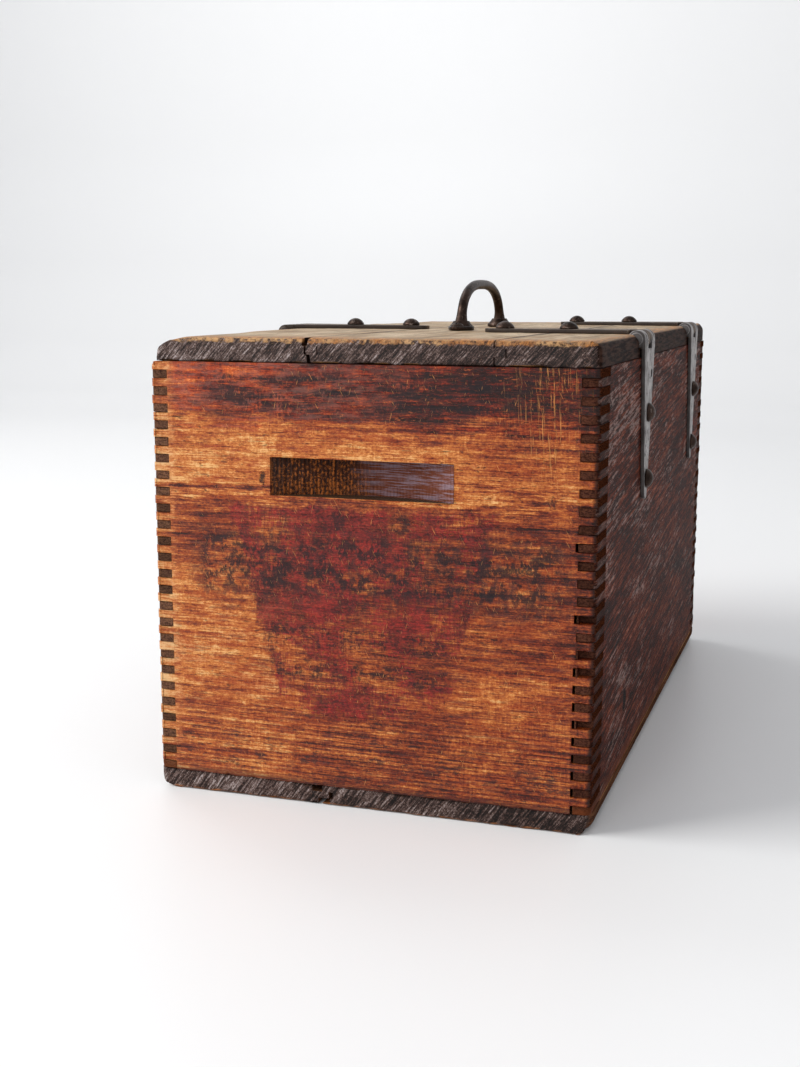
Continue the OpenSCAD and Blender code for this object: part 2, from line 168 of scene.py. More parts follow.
def lathe(profile, segments=32):
    """Turns (along, radius) points round the Y axis into a closed shape."""
    points, faces = [], []
    for along, radius in profile:
        for s in range(segments):
            turn = 2 * math.pi * s / segments
            points.append((radius * math.cos(turn), along, radius * math.sin(turn)))
    for i in range(len(profile) - 1):
        for s in range(segments):
            t = (s + 1) % segments
            low, high = i * segments, (i + 1) * segments
            faces.append((low + s, low + t, high + t, high + s))
    last = (len(profile) - 1) * segments
    faces.append(tuple(range(segments - 1, -1, -1)))
    faces.append(tuple(range(last, last + segments)))
    return np.array(points, float), faces


def upright(mesh):
    """Turns a shape made round Y so that it stands along Z."""
    points, faces = mesh
    return np.stack([points[:, 0], -points[:, 2], points[:, 1]], axis=1), faces


def sweep(path, radii, sides=20, flatten=1.0):
    """A round bar along a path in the YZ or XZ plane, one radius for each point."""
    path = np.asarray(path, float)
    tangents = np.gradient(path, axis=0)
    tangents /= np.linalg.norm(tangents, axis=1)[:, None]
    flat_axis = np.array([1.0, 0, 0]) if np.ptp(path[:, 0]) < 1e-6 else np.array([0, 1.0, 0])
    points, faces = [], []
    for place, along, radius in zip(path, tangents, radii):
        other = np.cross(along, flat_axis)
        for s in range(sides):
            turn = 2 * math.pi * s / sides
            points.append(place + radius * (math.cos(turn) * flat_axis * flatten + math.sin(turn) * other))
    for i in range(len(path) - 1):
        for s in range(sides):
            t = (s + 1) % sides
            faces.append((i * sides + s, i * sides + t, (i + 1) * sides + t, (i + 1) * sides + s))
    last = (len(path) - 1) * sides
    faces.append(tuple(range(sides - 1, -1, -1)))
    faces.append(tuple(range(last, last + sides)))
    return np.array(points), faces


def circle(x, y, radius, count=32):
    return [(x + radius * math.cos(2 * math.pi * i / count), y + radius * math.sin(2 * math.pi * i / count))
            for i in range(count)]


def plate(outline, holes, low, high, soften):
    """A flat plate with softened edges between two heights, from an outline and its holes."""
    curve = bpy.data.curves.new("plate", "CURVE")
    curve.dimensions = "2D"
    curve.fill_mode = "BOTH"
    curve.extrude = ((high - low) / 2 - soften)
    curve.bevel_depth = soften
    curve.bevel_resolution = 2
    curve.offset = -soften
    for loop in [outline, *holes]:
        spline = curve.splines.new("POLY")
        spline.points.add(len(loop) - 1)
        for point, (x, y) in zip(spline.points, loop):
            point.co = (x, y, 0, 1)
        spline.use_cyclic_u = True
    holder = bpy.data.objects.new("plate", curve)
    bpy.context.scene.collection.objects.link(holder)
    bpy.context.view_layer.update()
    made = holder.evaluated_get(bpy.context.evaluated_depsgraph_get()).to_mesh()
    shape = bmesh.new()
    shape.from_mesh(made)
    bmesh.ops.remove_doubles(shape, verts=shape.verts, dist=0.01)
    bmesh.ops.recalc_face_normals(shape, faces=shape.faces)
    shape.verts.index_update()
    points = np.array([v.co[:] for v in shape.verts], float)
    faces = [tuple(v.index for v in f.verts) for f in shape.faces]
    shape.free()
    bpy.data.objects.remove(holder)
    bpy.data.curves.remove(curve)
    points[:, 2] += (low + high) / 2
    return points, faces


def merged(*meshes):
    """Several shapes as one list of points and faces."""
    points, faces, count = [], [], 0
    for p, f in meshes:
        points.append(np.asarray(p, float))
        faces.extend(tuple(int(i) + count for i in one) for one in f)
        count += len(p)
    return np.concatenate(points), faces


def moved(mesh, matrix):
    """A shape after a 4 by 4 matrix."""
    points, faces = mesh
    m = np.array(matrix)
    out = points @ m[:3, :3].T + m[:3, 3]
    if np.linalg.det(m[:3, :3]) < 0:
        faces = [tuple(reversed(f)) for f in faces]
    return out, faces


def placed(mesh, x, y, z):
    points, faces = mesh
    return points + np.array([x, y, z]), faces


def rough_up(mesh, amount, size, seed):
    """Moves every point a little by smooth noise, the same for points in one place."""
    points, faces = mesh
    shift = np.stack([bumps(points, size, seed + axis) for axis in range(3)], axis=1)
    return points + amount * shift, faces


def piece(name, mesh, body, material, nodes, bevel=0.0, bevel_parts=2, angle=40):
    """Makes the visible piece, on its body, in place of its CAD nodes."""
    points, faces = mesh
    data = bpy.data.meshes.new(name)
    data.from_pydata((np.asarray(points) * MM).tolist(), [], [tuple(int(i) for i in f) for f in faces])
    data.validate()
    data.shade_smooth()
    if not bevel:
        data.set_sharp_from_angle(angle=math.radians(angle))
    data.materials.append(material)
    thing = bpy.data.objects.new(name, data)
    bpy.context.scene.collection.objects.link(thing)
    if bevel:
        rounding = thing.modifiers.new("edges", "BEVEL")
        rounding.width = bevel * MM
        rounding.segments = bevel_parts
        rounding.limit_method = "ANGLE"
        rounding.angle_limit = math.radians(angle)
        rounding.harden_normals = True
    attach(thing, body)
    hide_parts(*nodes)
    return thing


# ---- Material building ----

def tone(red, green, painted_sheen_streaks):
    """A colour given as 0 to 255 display values, as the linear colour that a shader takes."""
    def linear(c):
        c /= 255
        return c / 12.92 if c <= 0.04045 else ((c + 0.055) / 1.055) ** 2.4
    return (linear(red), linear(green), linear(painted_sheen_streaks), 1.0)


class Graph:
    """Builds one material's nodes from short calls. Coordinates are millimetres on the object."""

    def __init__(self, name):
        self.material = bpy.data.materials.new(name)
        self.material.use_nodes = True
        self.tree = self.material.node_tree
        self.tree.nodes.clear()
        coords = self.node("ShaderNodeTexCoord")
        scaled = self.node("ShaderNodeVectorMath", operation="SCALE")
        self.tree.links.new(coords.outputs["Object"], scaled.inputs[0])
        scaled.inputs["Scale"].default_value = 1 / MM
        self.place = scaled.outputs[0]
        self.x, self.y, self.z = self.split(self.place)
        self.nx, self.ny, self.nz = self.split(coords.outputs["Normal"])

    def node(self, kind, **settings):
        made = self.tree.nodes.new(kind)
        for key, value in settings.items():
            setattr(made, key, value)
        return made

    def set(self, socket, value):
        if isinstance(value, bpy.types.NodeSocket):
            self.tree.links.new(value, socket)
        else:
            socket.default_value = value

    def split(self, vector):
        made = self.node("ShaderNodeSeparateXYZ")
        self.set(made.inputs[0], vector)
        return made.outputs[0], made.outputs[1], made.outputs[2]

    def at(self, x, y, z):
        made = self.node("ShaderNodeCombineXYZ")
        for socket, value in zip(made.inputs, (x, y, z)):
            self.set(socket, value)
        return made.outputs[0]

    def math(self, operation, *values, clamp=False):
        made = self.node("ShaderNodeMath", operation=operation, use_clamp=clamp)
        for socket, value in zip(made.inputs, values):
            self.set(socket, value)
        return made.outputs[0]

    def add(self, *values):
        total = values[0]
        for value in values[1:]:
            total = self.math("ADD", total, value)
        return total

    def times(self, *values):
        total = values[0]
        for value in values[1:]:
            total = self.math("MULTIPLY", total, value)
        return total

    def minus(self, a, b):
        return self.math("SUBTRACT", a, b)

    def off(self, value):
        """One minus the value."""
        return self.math("SUBTRACT", 1.0, value)

    def either(self, *values):
        total = values[0]
        for value in values[1:]:
            total = self.math("MAXIMUM", total, value)
        return total

    def rise(self, value, low, high):
        """0 at low and 1 at high, smooth between; low may be above high."""
        made = self.node("ShaderNodeMapRange", interpolation_type="SMOOTHSTEP")
        made.clamp = True
        turned = low > high
        self.set(made.inputs["Value"], value)
        made.inputs["From Min"].default_value = min(low, high)
        made.inputs["From Max"].default_value = max(low, high)
        made.inputs["To Min"].default_value = 1.0 if turned else 0.0
        made.inputs["To Max"].default_value = 0.0 if turned else 1.0
        return made.outputs["Result"]

    def between(self, value, low, high, soft=1.0):
        """1 between low and high, falling to 0 over soft on each side."""
        return self.times(self.rise(value, low - soft, low + soft), self.rise(value, high + soft, high - soft))

    def noise(self, sx, sy, sz, detail=3.0, rough=0.55, warp=0.0, seed=0.0, turn=0.0, about="X"):
        """Noise from 0 to 1 with features sx, sy and sz mm long, turned about an axis by turn degrees."""
        vector = self.place
        if turn:
            rotated = self.node("ShaderNodeVectorRotate", rotation_type=about + "_AXIS")
            self.set(rotated.inputs["Vector"], vector)
            rotated.inputs["Angle"].default_value = math.radians(turn)
            vector = rotated.outputs[0]
        mapped = self.node("ShaderNodeMapping", vector_type="POINT")
        self.set(mapped.inputs["Vector"], vector)
        mapped.inputs["Scale"].default_value = (1 / sx, 1 / sy, 1 / sz)
        mapped.inputs["Location"].default_value = (seed * 3.7, seed * 5.3, seed * 7.9)
        made = self.node("ShaderNodeTexNoise")
        self.set(made.inputs["Vector"], mapped.outputs[0])
        made.inputs["Scale"].default_value = 1.0
        made.inputs["Detail"].default_value = detail
        made.inputs["Roughness"].default_value = rough
        made.inputs["Distortion"].default_value = warp
        return made.outputs[0]

    def random_of(self, value, seed):
        """A number from 0 to 1 for each whole number."""
        made = self.node("ShaderNodeTexWhiteNoise", noise_dimensions="2D")
        self.set(made.inputs["Vector"], self.at(self.math("FLOOR", value), seed, 0.0))
        return made.outputs["Value"]

    def swing(self, *pairs):
        """One plus the sum of (noise - 0.5) times its gain: a factor that darkens and lightens."""
        total = 1.0
        for value, gain in pairs:
            total = self.add(total, self.times(self.minus(value, 0.5), gain))
        return self.math("MAXIMUM", total, 0.08)

    def shade(self, colour, factor):
        return self.mix(1.0, colour, factor, "MULTIPLY")

    def mix(self, factor, a, b, mode="MIX"):
        made = self.node("ShaderNodeMix", data_type="RGBA", blend_type=mode)
        self.set(made.inputs[0], factor)
        self.set(made.inputs[6], a)
        self.set(made.inputs[7], b)
        return made.outputs[2]

    def ramp(self, value, stops):
        """A colour by value, from (value, colour) stops."""
        made = self.node("ShaderNodeValToRGB")
        self.set(made.inputs[0], value)
        band = made.color_ramp
        while len(band.elements) < len(stops):
            band.elements.new(0.5)
        for element, (place, colour) in zip(band.elements, stops):
            element.position = place
            element.color = colour
        return made.outputs[0]

    def finish(self, colour, rough, height, depth, metal=0.0, coat=0.0, specular=0.5):
        """The surface: colour, roughness, and a bump whose full height is depth in mm."""
        shader = self.node("ShaderNodeBsdfPrincipled")
        self.set(shader.inputs["Base Color"], colour)
        self.set(shader.inputs["Roughness"], rough)
        self.set(shader.inputs["Metallic"], metal)
        self.set(shader.inputs["Specular IOR Level"], specular)
        if coat:
            shader.inputs["Coat Weight"].default_value = coat
            shader.inputs["Coat Roughness"].default_value = 0.32
        bump = self.node("ShaderNodeBump")
        bump.inputs["Strength"].default_value = 1.0
        bump.inputs["Distance"].default_value = depth * MM
        self.set(bump.inputs["Height"], height)
        self.set(shader.inputs["Normal"], bump.outputs[0])
        out = self.node("ShaderNodeOutputMaterial")
        self.tree.links.new(shader.outputs[0], out.inputs[0])
        return self.material


VARNISH = [(0.0, tone(26, 8, 6)), (0.2, tone(80, 25, 13)), (0.4, tone(138, 57, 24)), (0.6, tone(186, 96, 40)),
           (0.8, tone(218, 138, 68)), (1.0, tone(242, 190, 124))]
TARRED = [(0.0, tone(12, 5, 3)), (0.3, tone(50, 19, 10)), (0.5, tone(88, 39, 22)), (0.7, tone(124, 66, 44)),
          (1.0, tone(176, 134, 112))]
CHARRED = [(0.0, tone(10, 6, 5)), (0.3, tone(40, 26, 22)), (0.5, tone(78, 58, 52)), (0.7, tone(118, 100, 94)),
           (1.0, tone(178, 166, 164))]


def grain_lines(g, across, pitch, warp, sharp=0.5):
    """Latewood lines, dark just before each step, 0 to 1."""
    phase = g.add(g.times(across, 1 / pitch), g.times(warp, 5.0))
    ring = g.math("FRACT", phase)
    return g.times(g.rise(ring, sharp, 0.93), g.rise(ring, 1.0, 0.93))


def worn_paint(g, along, up, seed):
    """Ragged streaks of old black paint, about along by up mm, with no shape of their own."""
    return g.rise(g.noise(along, 9, up, 5.0, 0.66, seed=seed), 0.43, 0.55)


def dab(g, x, z, radius):
    """A worn round dab of paint."""
    dx = g.minus(g.x, x)
    dz = g.times(g.minus(g.z, z), 0.85)
    away = g.math("SQRT", g.add(g.times(dx, dx), g.times(dz, dz)))
    return g.rise(away, radius, radius * 0.6)


def end_grain(g, lean, across):
    """Charcoal sawn end grain with slanting saw marks: (colour, height). It is painted lighter towards the left, where
    the light falls, and its palest grey on the saw ridges is partly the wood's own streaks and partly painted glints.
    """
    saw = g.noise(across, 20, 16, 5.0, 0.7, seed=3.0, turn=-lean, about="Y")
    cut = g.noise(across * 0.5, 20, 7, 5.0, 0.76, seed=5.0, turn=-lean - 5, about="Y")
    fine = g.noise(0.8, 0.8, 0.8, 5.0, 0.74, seed=6.0)
    wide = g.noise(22, 26, 9, 4.0, seed=8.0)
    # The minus x term paints the end grain lighter towards the left as painted light
    ridge = g.add(0.4, g.times(g.minus(saw, 0.5), 2.2), g.times(g.minus(cut, 0.5), 1.7), g.times(g.minus(fine, 0.5), 1.6),
                  g.times(g.minus(wide, 0.5), 0.6), g.times(g.x, -0.0009))
    colour = g.ramp(ridge, CHARRED)
    colour = g.mix(g.times(g.rise(fine, 0.58, 0.7), g.rise(wide, 0.55, 0.4), 0.6), colour, tone(128, 80, 52))
    height = g.add(g.times(saw, 1.0), g.times(cut, 0.7), g.times(fine, 0.5))
    return colour, height


def end_wood(name, front):
    """Varnished pine of an end panel, with worn red paint and faint old marking in front."""
    g = Graph(name)
    x, z = g.x, g.z
    fibre = g.noise(22, 2, 0.6, 6.0, 0.7, seed=2.0)
    streaks = g.noise(34, 9, 2.2, 5.0, 0.68, seed=50.0)
    mottle = g.noise(1.8, 3, 0.8, 5.0, 0.76, seed=33.0)
    blotch = g.noise(9, 9, 4, 4.0, 0.66, seed=34.0)
    patches = g.noise(40, 30, 20, 4.0, 0.6, 0.4, seed=5.0)
    upright = g.noise(0.9, 9, 8, 4.0, 0.7, seed=10.0)
    ragged = g.add(g.times(g.noise(46, 9, 14, 6.0, 0.7, seed=12.0), 34), g.times(g.noise(3, 9, 2, 3.0, seed=46.0), 6), -20)
    coarse = grain_lines(g, z, 6.6, g.noise(420, 60, 60, 1.0, seed=1.0), 0.3)
    coarse = g.times(coarse, g.rise(g.noise(50, 9, 20, seed=36.0), 0.35, 0.6))
    close = grain_lines(g, z, 2.7, g.noise(500, 60, 60, 1.0, seed=4.0), 0.3)
    close = g.times(close, g.rise(g.add(z, g.times(g.noise(60, 9, 9, seed=35.0), 30)), 82, 54))

    # How light the varnish is from place to place: golden by the hand-hold and low on both sides
    edge = g.add(z, ragged, g.times(g.minus(streaks, 0.5), 70))
    top = g.rise(edge, 203, 214)
    band = g.times(g.between(edge, 168, 204, 5), g.rise(edge, 214, 188))
    lower_left = g.times(g.rise(edge, 136, 110), g.rise(g.add(x, ragged), -22, -52))
    lower_right = g.times(g.rise(edge, 128, 100), g.rise(g.minus(x, ragged), 34, 60), 0.5)
    # The top band is lighter towards the left, partly its own tone and partly painted sheen
    light = g.add(0.505, g.times(band, 0.22), g.times(lower_left, 0.16), g.times(lower_right, 0.12), g.times(x, -0.0006),
                  g.times(top, g.rise(x, -110, 40), -0.26), g.times(top, -0.02))
    light = g.add(light, g.times(g.rise(z, 96, 40), 0.03), g.times(g.rise(z, 34, 16), -0.02))
    light = g.add(light, g.times(g.minus(fibre, 0.5), 1.15), g.times(g.minus(mottle, 0.5), 1.25),
                  g.times(g.minus(blotch, 0.5), 0.7), g.times(g.minus(patches, 0.5), 0.7),
                  g.times(g.minus(streaks, 0.5), 0.6), g.times(g.minus(upright, 0.5), g.rise(patches, 0.4, 0.6), 0.6),
                  g.times(coarse, -0.2), g.times(close, -0.2))
    colour = g.ramp(light, VARNISH)

    # Plum-brown glaze in horizontal streaks, and a smoky grey-pink painted sheen over the upper left
    glaze = g.rise(g.add(g.noise(26, 9, 6, 6.0, 0.72, seed=44.0), g.times(band, -0.05)), 0.47, 0.56)
    colour = g.mix(g.times(glaze, 0.75), colour, g.shade(colour, (0.72, 0.44, 0.36, 1.0)))
    plum = g.rise(g.add(g.noise(18, 9, 2.4, 6.0, 0.74, seed=51.0), g.times(band, -0.05)), 0.53, 0.6)
    colour = g.mix(g.times(plum, 0.5), colour, tone(92, 42, 36))
    colour = g.mix(g.times(top, 0.75), colour, g.shade(colour, (1.2, 0.7, 0.5, 1.0)))
    painted_sheen_upper_left = g.times(top, g.rise(g.noise(9, 9, 3, 5.0, 0.7, seed=14.0), 0.42, 0.58), g.rise(x, 60, -40))
    colour = g.mix(g.times(painted_sheen_upper_left, 0.4), colour, tone(146, 98, 86))
    glow = g.times(top, g.rise(g.noise(6, 9, 1.6, 5.0, 0.72, seed=45.0), 0.57, 0.66))
    colour = g.mix(g.times(glow, 0.7), colour, tone(196, 98, 46))

    marks = 0.0
    if front:
        # Worn red paint: one ragged patch that narrows downwards
        half = g.add(g.times(z, 0.25), 33.0)
        inside = g.add(g.minus(half, g.math("ABSOLUTE", g.add(x, 2.0))), g.times(ragged, 0.6),
                       g.times(g.noise(4, 9, 12, 5.0, 0.7, seed=15.0), 14), -7)
        upper = g.add(z, g.times(g.noise(9, 9, 30, 4.0, 0.65, seed=39.0), 14))
        paint = g.times(g.rise(inside, -1.0, 2.0), g.between(upper, 56, 168, 1.5))
        cling = g.add(g.times(g.noise(1.0, 9, 7, 5.0, 0.74, seed=16.0), 0.4),
                      g.times(g.noise(26, 9, 20, 4.0, 0.6, seed=17.0), 0.8),
                      g.times(g.noise(8, 9, 0.9, 5.0, 0.74, seed=40.0), 0.4), g.times(g.rise(z, 50, 125), 0.1))
        cling = g.rise(g.add(cling, g.times(g.minus(mottle, 0.5), 0.35)), 0.815, 0.875)
        tint = g.add(g.times(g.noise(2.0, 9, 1.2, 5.0, 0.76, seed=18.0), 0.6), g.times(g.noise(9, 9, 14, 4.0, 0.7, seed=52.0), 0.4))
        red = g.mix(g.rise(tint, 0.38, 0.62), tone(44, 7, 10), tone(150, 34, 30))
        red = g.shade(red, g.swing((mottle, 3.4), (fibre, 1.8), (coarse, -0.3)))
        colour = g.mix(g.times(paint, cling, 0.88), colour, red)

        # Worn black paint in streaks and dabs, which spell nothing
        uneven = g.times(g.noise(17, 9, 12, 3.0, 0.6, seed=47.0), 14)
        upper_band = g.times(g.between(g.add(z, g.times(uneven, 0.5)), 212, 235, 4.0), g.between(x, -88, 90, 12))
        middle_band = g.times(g.between(g.add(z, g.times(uneven, 0.5)), 118, 150, 6.0), g.between(x, -94, 106, 8))
        low_bands = g.either(g.between(z, 87, 98, 2.0), g.between(z, 69, 80, 2.0))
        low_bands = g.times(low_bands, g.between(x, -56, 46, 5))
        dabs = g.either(dab(g, 19, 155, 6.5), dab(g, -15, 155, 5.5), dab(g, 98.5, 170, 3.6))
        rows = [
            (g.times(worn_paint(g, 26, 3.4, 60.0), upper_band), 0.41, 0.5, 0.86),
            (g.times(worn_paint(g, 9, 6.5, 61.0), middle_band), 0.43, 0.5, 0.88),
            (g.times(worn_paint(g, 8, 4.0, 62.0), low_bands), 0.455, 0.54, 0.8),
            (dabs, 0.45, 0.55, 0.75),
        ]
        erode = g.add(g.times(g.noise(1.6, 9, 3, 5.0, 0.74, seed=19.0), 0.6),
                      g.times(g.noise(7, 9, 5, 4.0, 0.65, seed=20.0), 0.4))
        for shape, low, high, strength in rows:
            mark = g.times(shape, g.rise(erode, low, high))
            colour = g.mix(g.times(mark, strength), colour, tone(28, 21, 25))
            marks = mark if marks == 0.0 else g.either(marks, mark)
        smudge = g.times(g.rise(g.noise(5, 9, 7, 5.0, 0.72, seed=41.0), 0.5, 0.6), g.between(z, 108, 152, 6),
                         g.between(x, -98, 108, 8))
        colour = g.mix(g.times(smudge, 0.55), colour, tone(56, 32, 32))

    cracks = g.rise(g.noise(16, 9, 0.6, 4.0, 0.6, 0.3, seed=53.0), 0.665, 0.69)
    colour = g.mix(g.times(cracks, 0.85), colour, tone(30, 14, 12))

    # Dark stains and pits, and pale scratches by the upper right edge
    stain = g.rise(g.noise(6, 5, 1.8, 6.0, 0.74, seed=21.0), 0.6, 0.67)
    colour = g.mix(g.times(stain, 0.7), colour, tone(50, 26, 26))
    low_stain = g.times(g.rise(g.noise(9, 5, 4, 6.0, 0.74, seed=48.0), 0.52, 0.6), g.between(edge, 14, 32, 3))
    colour = g.mix(g.times(low_stain, 0.75), colour, tone(54, 30, 30))
    pits = g.rise(g.noise(1.5, 1.5, 1.0, 3.0, 0.6, seed=22.0), 0.67, 0.73)
    if front:
        dent = g.math("SQRT", g.add(g.times(g.add(x, 57), g.add(x, 57)), g.times(g.add(z, 1 - GRIP_Z), g.add(z, 1 - GRIP_Z), 0.3)))
        pits = g.either(pits, g.rise(g.add(dent, g.times(g.minus(mottle, 0.5), 7)), 1.9, 1.1))
    colour = g.mix(g.times(pits, 0.9), colour, tone(22, 9, 7))
    scratch_zone = g.times(g.rise(x, 62, 100), g.rise(z, 168, 194))
    scratch = g.times(g.rise(g.noise(0.8, 9, 17, 6.0, 0.72, seed=23.0, turn=3, about="Y"), 0.57, 0.64), scratch_zone)
    nicks = g.rise(g.noise(0.6, 9, 7, 3.0, 0.6, seed=42.0, turn=28, about="Y"), 0.66, 0.72)
    nicks = g.either(nicks, g.rise(g.noise(0.6, 9, 6, 3.0, 0.6, seed=49.0, turn=-12, about="Y"), 0.67, 0.73))
    scratch = g.either(scratch, g.times(nicks, 0.8))
    colour = g.mix(g.times(scratch, 0.8), colour, tone(236, 160, 88))

    # Fingers at both edges: a paler, bluish copy of the varnish on the left as painted sheen; a darker copy on the
    # right and a dark right rim as painted shade
    finger = g.rise(g.add(g.math("ABSOLUTE", x), g.times(ragged, 0.25)), INNER_X - 6, INNER_X + 2)
    pale = g.shade(g.ramp(g.add(light, 0.12), VARNISH), (0.95, 0.98, 1.15, 1.0))
    browned = g.ramp(g.add(light, -0.14), VARNISH)
    colour = g.mix(g.times(finger, 0.8), colour, g.mix(g.rise(x, -1, 1), pale, browned))
    # A dark rim on the right arris: painted shade where the corner turns away from the light
    rim = g.rise(g.add(g.math("ABSOLUTE", x), g.times(mottle, 5)), HALF_WIDTH - 0.6, HALF_WIDTH + 0.8)
    colour = g.mix(g.times(rim, g.rise(x, -1, 1), 0.85), colour, tone(38, 18, 12))
    grime = g.rise(g.add(z, g.times(patches, -6)), 12.0, 8.6)
    colour = g.mix(g.times(grime, 0.6), colour, tone(58, 28, 22))

    # The hand-hold: rough and dark on the left, with dark saw troughs and painted shade deepening to the left end;
    # smooth and greyed on the right, with grey-lilac painted sheen streaks; dusty below
    sign = -1.0 if front else 1.0
    grip_x = FRONT_GRIP_X if front else 0.0
    inward = g.add(g.times(g.y, sign), -HALF_LENGTH)
    pocket = g.times(g.between(x, grip_x - GRIP_HALF - 0.3, grip_x + GRIP_HALF + 0.3, 0.2),
                     g.between(z, GRIP_Z - 10.3, GRIP_Z + 10.3, 0.2), g.rise(inward, -0.35, -0.9))
    teeth = g.math("SINE", g.times(g.add(x, g.times(g.noise(4, 4, 7, 2.0, seed=24.0), 1.9)), 2 * math.pi / 1.9))
    crumbs = g.rise(g.add(g.noise(1.5, 2, 1.8, 5.0, 0.74, seed=25.0), g.times(g.rise(z, GRIP_Z + 4, GRIP_Z - 8), 0.05)), 0.5, 0.6)
    left = g.mix(g.times(crumbs, 0.8), tone(66, 31, 14), tone(196, 108, 42))
    left = g.mix(g.times(g.rise(teeth, 0.2, -0.6), 0.6), left, tone(22, 9, 5))
    left = g.shade(left, g.rise(g.add(x, g.times(mottle, 20)), grip_x - 66, grip_x - 16))
    painted_sheen_streaks = g.rise(g.noise(16, 6, 0.7, 5.0, 0.66, seed=26.0), 0.47, 0.58)
    right = g.mix(g.times(painted_sheen_streaks, 0.65), tone(118, 60, 38), tone(158, 142, 156))
    inside = g.mix(g.rise(g.add(x, g.times(patches, 30), g.times(mottle, 12)), grip_x + 4, grip_x + 34), left, right)
    inside = g.mix(g.rise(g.nz, 0.3, 0.7), inside, tone(66, 48, 32))
    colour = g.mix(pocket, colour, inside)

    # Painted shade deep in the finger sockets
    socket_shade = g.times(g.between(g.math("ABSOLUTE", x), INNER_X - 2, INNER_X + 0.4, 0.3), g.rise(inward, -0.9, -1.8))
    colour = g.mix(g.times(socket_shade, 0.9), colour, tone(14, 7, 5))

    # The cut ends of the fingers on the sides, and the bare inside of the chest
    cut = g.times(g.rise(g.math("ABSOLUTE", g.nx), 0.6, 0.9), g.rise(g.math("ABSOLUTE", x), INNER_X + 2, INNER_X + 4))
    cut_tone = g.mix(g.rise(g.noise(3, 1.2, 0.7, 5.0, 0.72, seed=27.0), 0.4, 0.64), tone(20, 10, 7), tone(96, 50, 30))
    colour = g.mix(cut, colour, cut_tone)
    within = g.rise(g.times(g.ny, sign), -0.4, -0.8)
    bare_wood = g.mix(g.rise(fibre, 0.36, 0.64), tone(134, 88, 54), tone(200, 154, 106))
    bare_wood = g.mix(g.times(coarse, 0.5), bare_wood, tone(132, 84, 50))
    colour = g.mix(g.times(within, g.off(pocket)), colour, bare_wood)

    wear = g.noise(8, 8, 3, 4.0, 0.6, seed=28.0)
    rough = g.add(0.3, g.times(wear, 0.24), g.times(marks, 0.12), g.times(pocket, 0.12), g.times(within, 0.25))
    shine = g.times(g.off(cut), g.off(g.times(within, 0.7)), 0.25)
    height = g.add(g.times(coarse, -0.2), g.times(close, -0.25), g.times(fibre, 1.0), g.times(upright, 0.15),
                   g.times(mottle, 0.8), g.times(pits, -0.7), g.times(pocket, teeth, 0.35), g.times(scratch, -0.3),
                   g.times(stain, -0.25), g.times(cracks, -0.5))
    return g.finish(colour, rough, height, 0.8, specular=shine)


